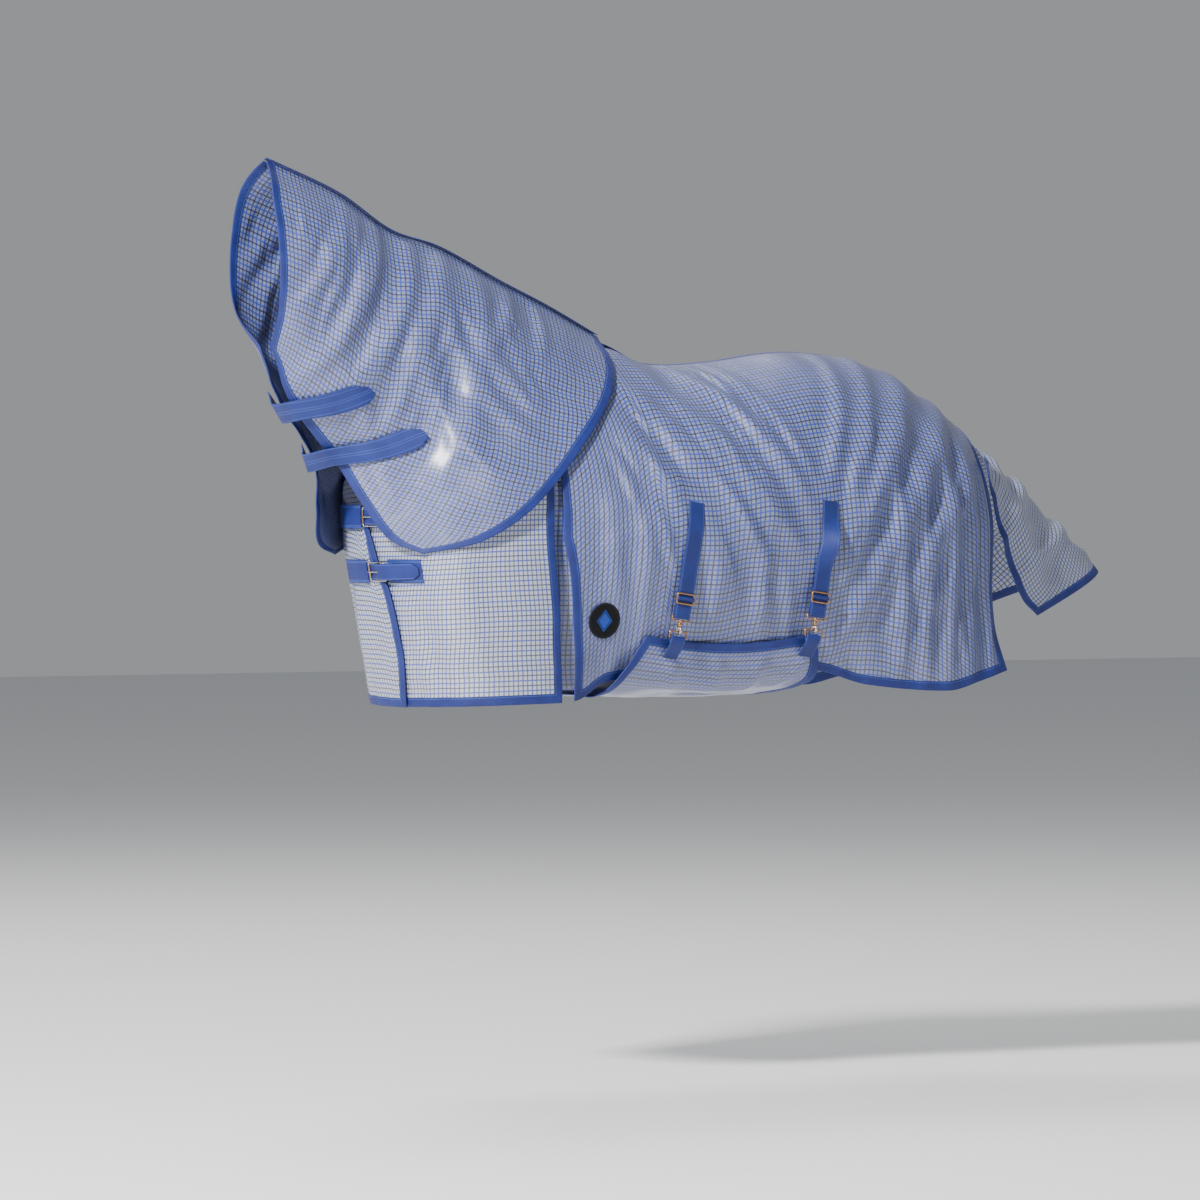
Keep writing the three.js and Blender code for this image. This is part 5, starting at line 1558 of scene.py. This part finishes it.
@dataclass
class ChestStrap:
    """A chest strap: a billet from the right panel through a wire buckle on the left one."""

    name: str
    height: float
    finishes: Finishes
    width: float = 36.0
    heel_y: float = -50.0
    span: float = 55.8
    buckle_width: float = 40.8
    heel_rise: float = 10.0
    tip_rise: float = 13.8
    wire: float = 1.6
    billet: Pairs = ((114, 10.7), (60, 10.7), (20, 10.7), (5, 10.4), (-15, 12), (-32, 15.5), (-50, 17),
                     (-66, 14.8), (-82, 11.4), (-110, 7.4), (-146, 7.2))

    def frame(self) -> LocalFrame:
        """Frame of the buckle: X from heel bar to tip bar, Y down the bars, Z out of the chest."""
        heel = SHAPE.over_chest(self.heel_y, self.height, 0)
        along = unit(SHAPE.over_chest(self.heel_y + self.span, self.height, 0) - heel)
        above, below = (SHAPE.over_chest(self.heel_y, self.height + step, 0) for step in (10, -10))
        up = unit(above - below)
        out = unit(np.cross(up, along))
        return LocalFrame(heel, along, np.cross(out, along), out)

    def patch(self, name: str, start: float, end: float, rise: float, node: str) -> Thing:
        """A patch of webbing sewn flat over the chest."""
        u, v = grid(30, 14)
        points = SHAPE.over_chest(lerp(start, end, u), self.height + (v - 0.5) * 52, np.full_like(u, rise))
        uv = np.stack([(u - 0.5) * (end - start), (v - 0.5) * 52], axis=-1) * MM
        made = thicken(piece(f"{self.name}_{name}", points, uv, self.finishes.patch), WEBBING, 0.6)
        return finish_piece(made, "root", "webbing", f"{self.name}_{node}")

    def straps(self, place: LocalFrame) -> list[Thing]:
        """The billet over its path of rises, and the short loop round the heel bar."""
        y, rise = np.array(self.billet, float).T
        halves = (-self.width / 2, self.width / 2)
        rails = [SpaceCurve(SHAPE.over_chest(y, self.height + half, rise)) for half in halves]
        billet = strip(f"{self.name}_billet_strap", *rails, 120, 8, 2.3, self.finishes.billet, tip=0.07)
        angle = np.radians(np.arange(-90, 217, 18))
        turn = [(4.3 * math.cos(a), self.heel_rise + 4.3 * math.sin(a)) for a in angle]
        run = np.array([(-26, 5.7), (-12, 5.7), *turn, (-12, 8.1), (-26, 7.9)])
        middle = place.flat(run[:, 0], run[:, 1])
        ends = [SpaceCurve(middle + place.y * half) for half in halves]
        loop = strip(f"{self.name}_chape_loop", *ends, 90, 6, 1.5, self.finishes.strap)
        return [finish_piece(billet, "root", "webbing", f"{self.name}_chest_billet"),
                finish_piece(loop, "root", "webbing", f"{self.name}_buckle_chape")]

    def buckle(self, place: LocalFrame) -> list[Thing]:
        """The buckle: an oblong of wire that tilts up to its tip bar, with a tongue round the heel bar."""
        outline = oblong(self.span, self.buckle_width, 4) + [self.span / 2, 0]
        rise = lerp(self.heel_rise, self.tip_rise, outline[:, :1] / self.span)
        ring = swept(f"{self.name}_buckle_wire", place(np.concatenate([outline, rise], axis=1)), (1.65, 1.65),
                     self.finishes.nickel, True)
        reach = self.buckle_width / 2 - 5
        roller_line = ((-reach, 1.4), (-reach + 0.5, 2.15), (reach - 0.5, 2.15), (reach, 1.4))
        bar = LocalFrame(place(np.array([self.span, 0, self.tip_rise])), place.y, place.z, place.x)
        roller = turned(f"{self.name}_tip_roller", roller_line, bar, self.finishes.brass)
        angle = np.radians(np.linspace(20, 330, 22))
        curl = [(3.5 * math.cos(a), self.heel_rise + 3.5 * math.sin(a)) for a in angle[::-1]]
        tip = self.tip_rise + self.wire + 2
        run = np.array([*curl[:-3], (8, self.heel_rise + 3.4), (20, self.heel_rise + 4.8), (40, tip - 0.8),
                        (54, tip), (58.5, tip - 0.6)])
        path = SpaceCurve(place.flat(run[:, 0], run[:, 1]))(np.linspace(0, 1, 70))
        thick = lerp(1.55, 0.9, smooth(np.linspace(-6, 1, 70)))
        tongue = swept(f"{self.name}_tongue_wire", path, (thick, 1.6), self.finishes.nickel)
        return [finish_piece(ring, "root", "nickel", f"{self.name}_buckle_frame"),
                finish_piece(roller, "root", "brass"),
                finish_piece(tongue, f"{self.name}_tongue", "nickel", f"{self.name}_buckle_tongue")]

    def build(self) -> list[Thing]:
        """Makes the patches, straps and buckle."""
        place = self.frame()
        return [self.patch("billet_patch", 118, 16, 13.4, "billet_base"),
                self.patch("chape_patch", -57, -152, 3.3, "chape_base"),
                *self.straps(place), *self.buckle(place)]


@dataclass
class ShoulderBadge:
    """The round sewn badge on the left shoulder."""

    finishes: Finishes
    place: tuple[float, float] = (-330.0, -569.0)
    radius: float = 40.0

    def build(self) -> list[Thing]:
        """A thin turned disc with a raised stitched rim; its axis stands square to the cloth."""
        frame_here = left_side_frame(*self.place, 3.2)
        rim = self.radius
        profile = ((-1.0, 1.0), (-1.0, rim - 1), (-0.4, rim), (0.9, rim), (1.6, rim - 1.2),
                   (1.7, rim - 3), (1.0, rim - 4.4), (0.9, rim - 5.5), (0.9, 18.0), (0.9, 1.0))
        turned_place = LocalFrame(frame_here.origin, frame_here.z, frame_here.y, -frame_here.x)
        made = turned("badge_disc", profile, turned_place, self.finishes.badge)
        return [finish_piece(made, "root", "patch", "shoulder_patch")]


# ---------------------------------------------------------------- camera, lights and floor


@dataclass(frozen=True)
class Studio:
    """A pale floor, soft lights and the camera."""

    azimuth: float = -33.0
    elevation: float = 1.0
    target: Triple = (-0.113, 0.0735, -0.531)
    distance: float = 18.0
    lens: float = 240.0
    ground: float = -1.604

    def camera(self) -> Thing:
        """The camera on a sphere about the target; azimuth 0 looks along +Y, elevation is upwards."""
        a, e = math.radians(self.azimuth), math.radians(self.elevation)
        back = Vector((math.sin(a) * math.cos(e), -math.cos(a) * math.cos(e), math.sin(e)))
        data = bpy.data.cameras.new("camera")
        data.lens, data.sensor_width, data.clip_end = self.lens, 36.0, 200.0
        made = bpy.data.objects.new("camera", data)
        made.location = Vector(self.target) + back * self.distance
        made.rotation_euler = (-back).to_track_quat("-Z", "Y").to_euler()
        bpy.context.scene.collection.objects.link(made)
        bpy.context.scene.camera = made
        return made

    def light(self, name: str, place: Triple, size: float, power: float, colour: Triple) -> None:
        """A square area light turned to the target."""
        data = bpy.data.lights.new(name, "AREA")
        data.size, data.energy, data.color = size, power, colour
        made = bpy.data.objects.new(name, data)
        made.location = place
        made.rotation_euler = (Vector(self.target) - Vector(place)).to_track_quat("-Z", "Y").to_euler()
        bpy.context.scene.collection.objects.link(made)

    def build(self) -> None:
        """Makes the floor, the lights and the pale surroundings."""
        half = 30.0
        corners = [(half * x, half * y, self.ground) for x, y in ((-1, -1), (1, -1), (1, 1), (-1, 1))]
        mesh = bpy.data.meshes.new("floor")
        mesh.from_pydata(corners, [], [(0, 1, 2, 3)])
        book = NodeBook("pale_floor")
        book.set(Base_Color=(0.74, 0.75, 0.76, 1), Roughness=0.85)
        mesh.materials.append(book.material)
        floor = bpy.data.objects.new("floor", mesh)
        bpy.context.scene.collection.objects.link(floor)
        self.light("key", (-8.2, -3.6, 5.6), 1.3, 2700, (1.0, 0.98, 0.95))
        self.light("fill", (2.5, -8.0, 1.5), 5.0, 70, (0.86, 0.91, 1.0))
        self.light("back", (1.0, 5.5, 6.5), 3.0, 520, (1.0, 0.98, 0.95))
        world = bpy.data.worlds.new("pale_room")
        world.use_nodes = True
        world.node_tree.nodes["Background"].inputs["Color"].default_value = (0.86, 0.89, 0.93, 1)
        world.node_tree.nodes["Background"].inputs["Strength"].default_value = 0.36
        bpy.context.scene.world = world


def main() -> None:
    """Builds the camera and floor, then each sub-assembly in order."""
    logging.basicConfig(level=logging.INFO, format="%(message)s")
    studio = Studio()
    studio.camera()
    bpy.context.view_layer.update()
    studio.build()
    finishes = Finishes()
    parts = [
        FlankPanels(finishes),
        NeckCover(finishes),
        ChestPanels(finishes),
        BellyWrap(finishes),
        TailFlap(finishes),
        Surcingle("front", (-116, -310), (-153, -560), finishes),
        Surcingle("rear", (240, -308), (203, -560), finishes, twist=0.7),
        ChestStrap("upper", -340, finishes),
        ChestStrap("lower", -459, finishes),
        ShoulderBadge(finishes),
    ]
    for part in parts:
        for made in part.build():
            log.info("%s: %s, %d faces", type(part).__name__, made.name, len(made.data.polygons))


if __name__ == "__main__":
    main()
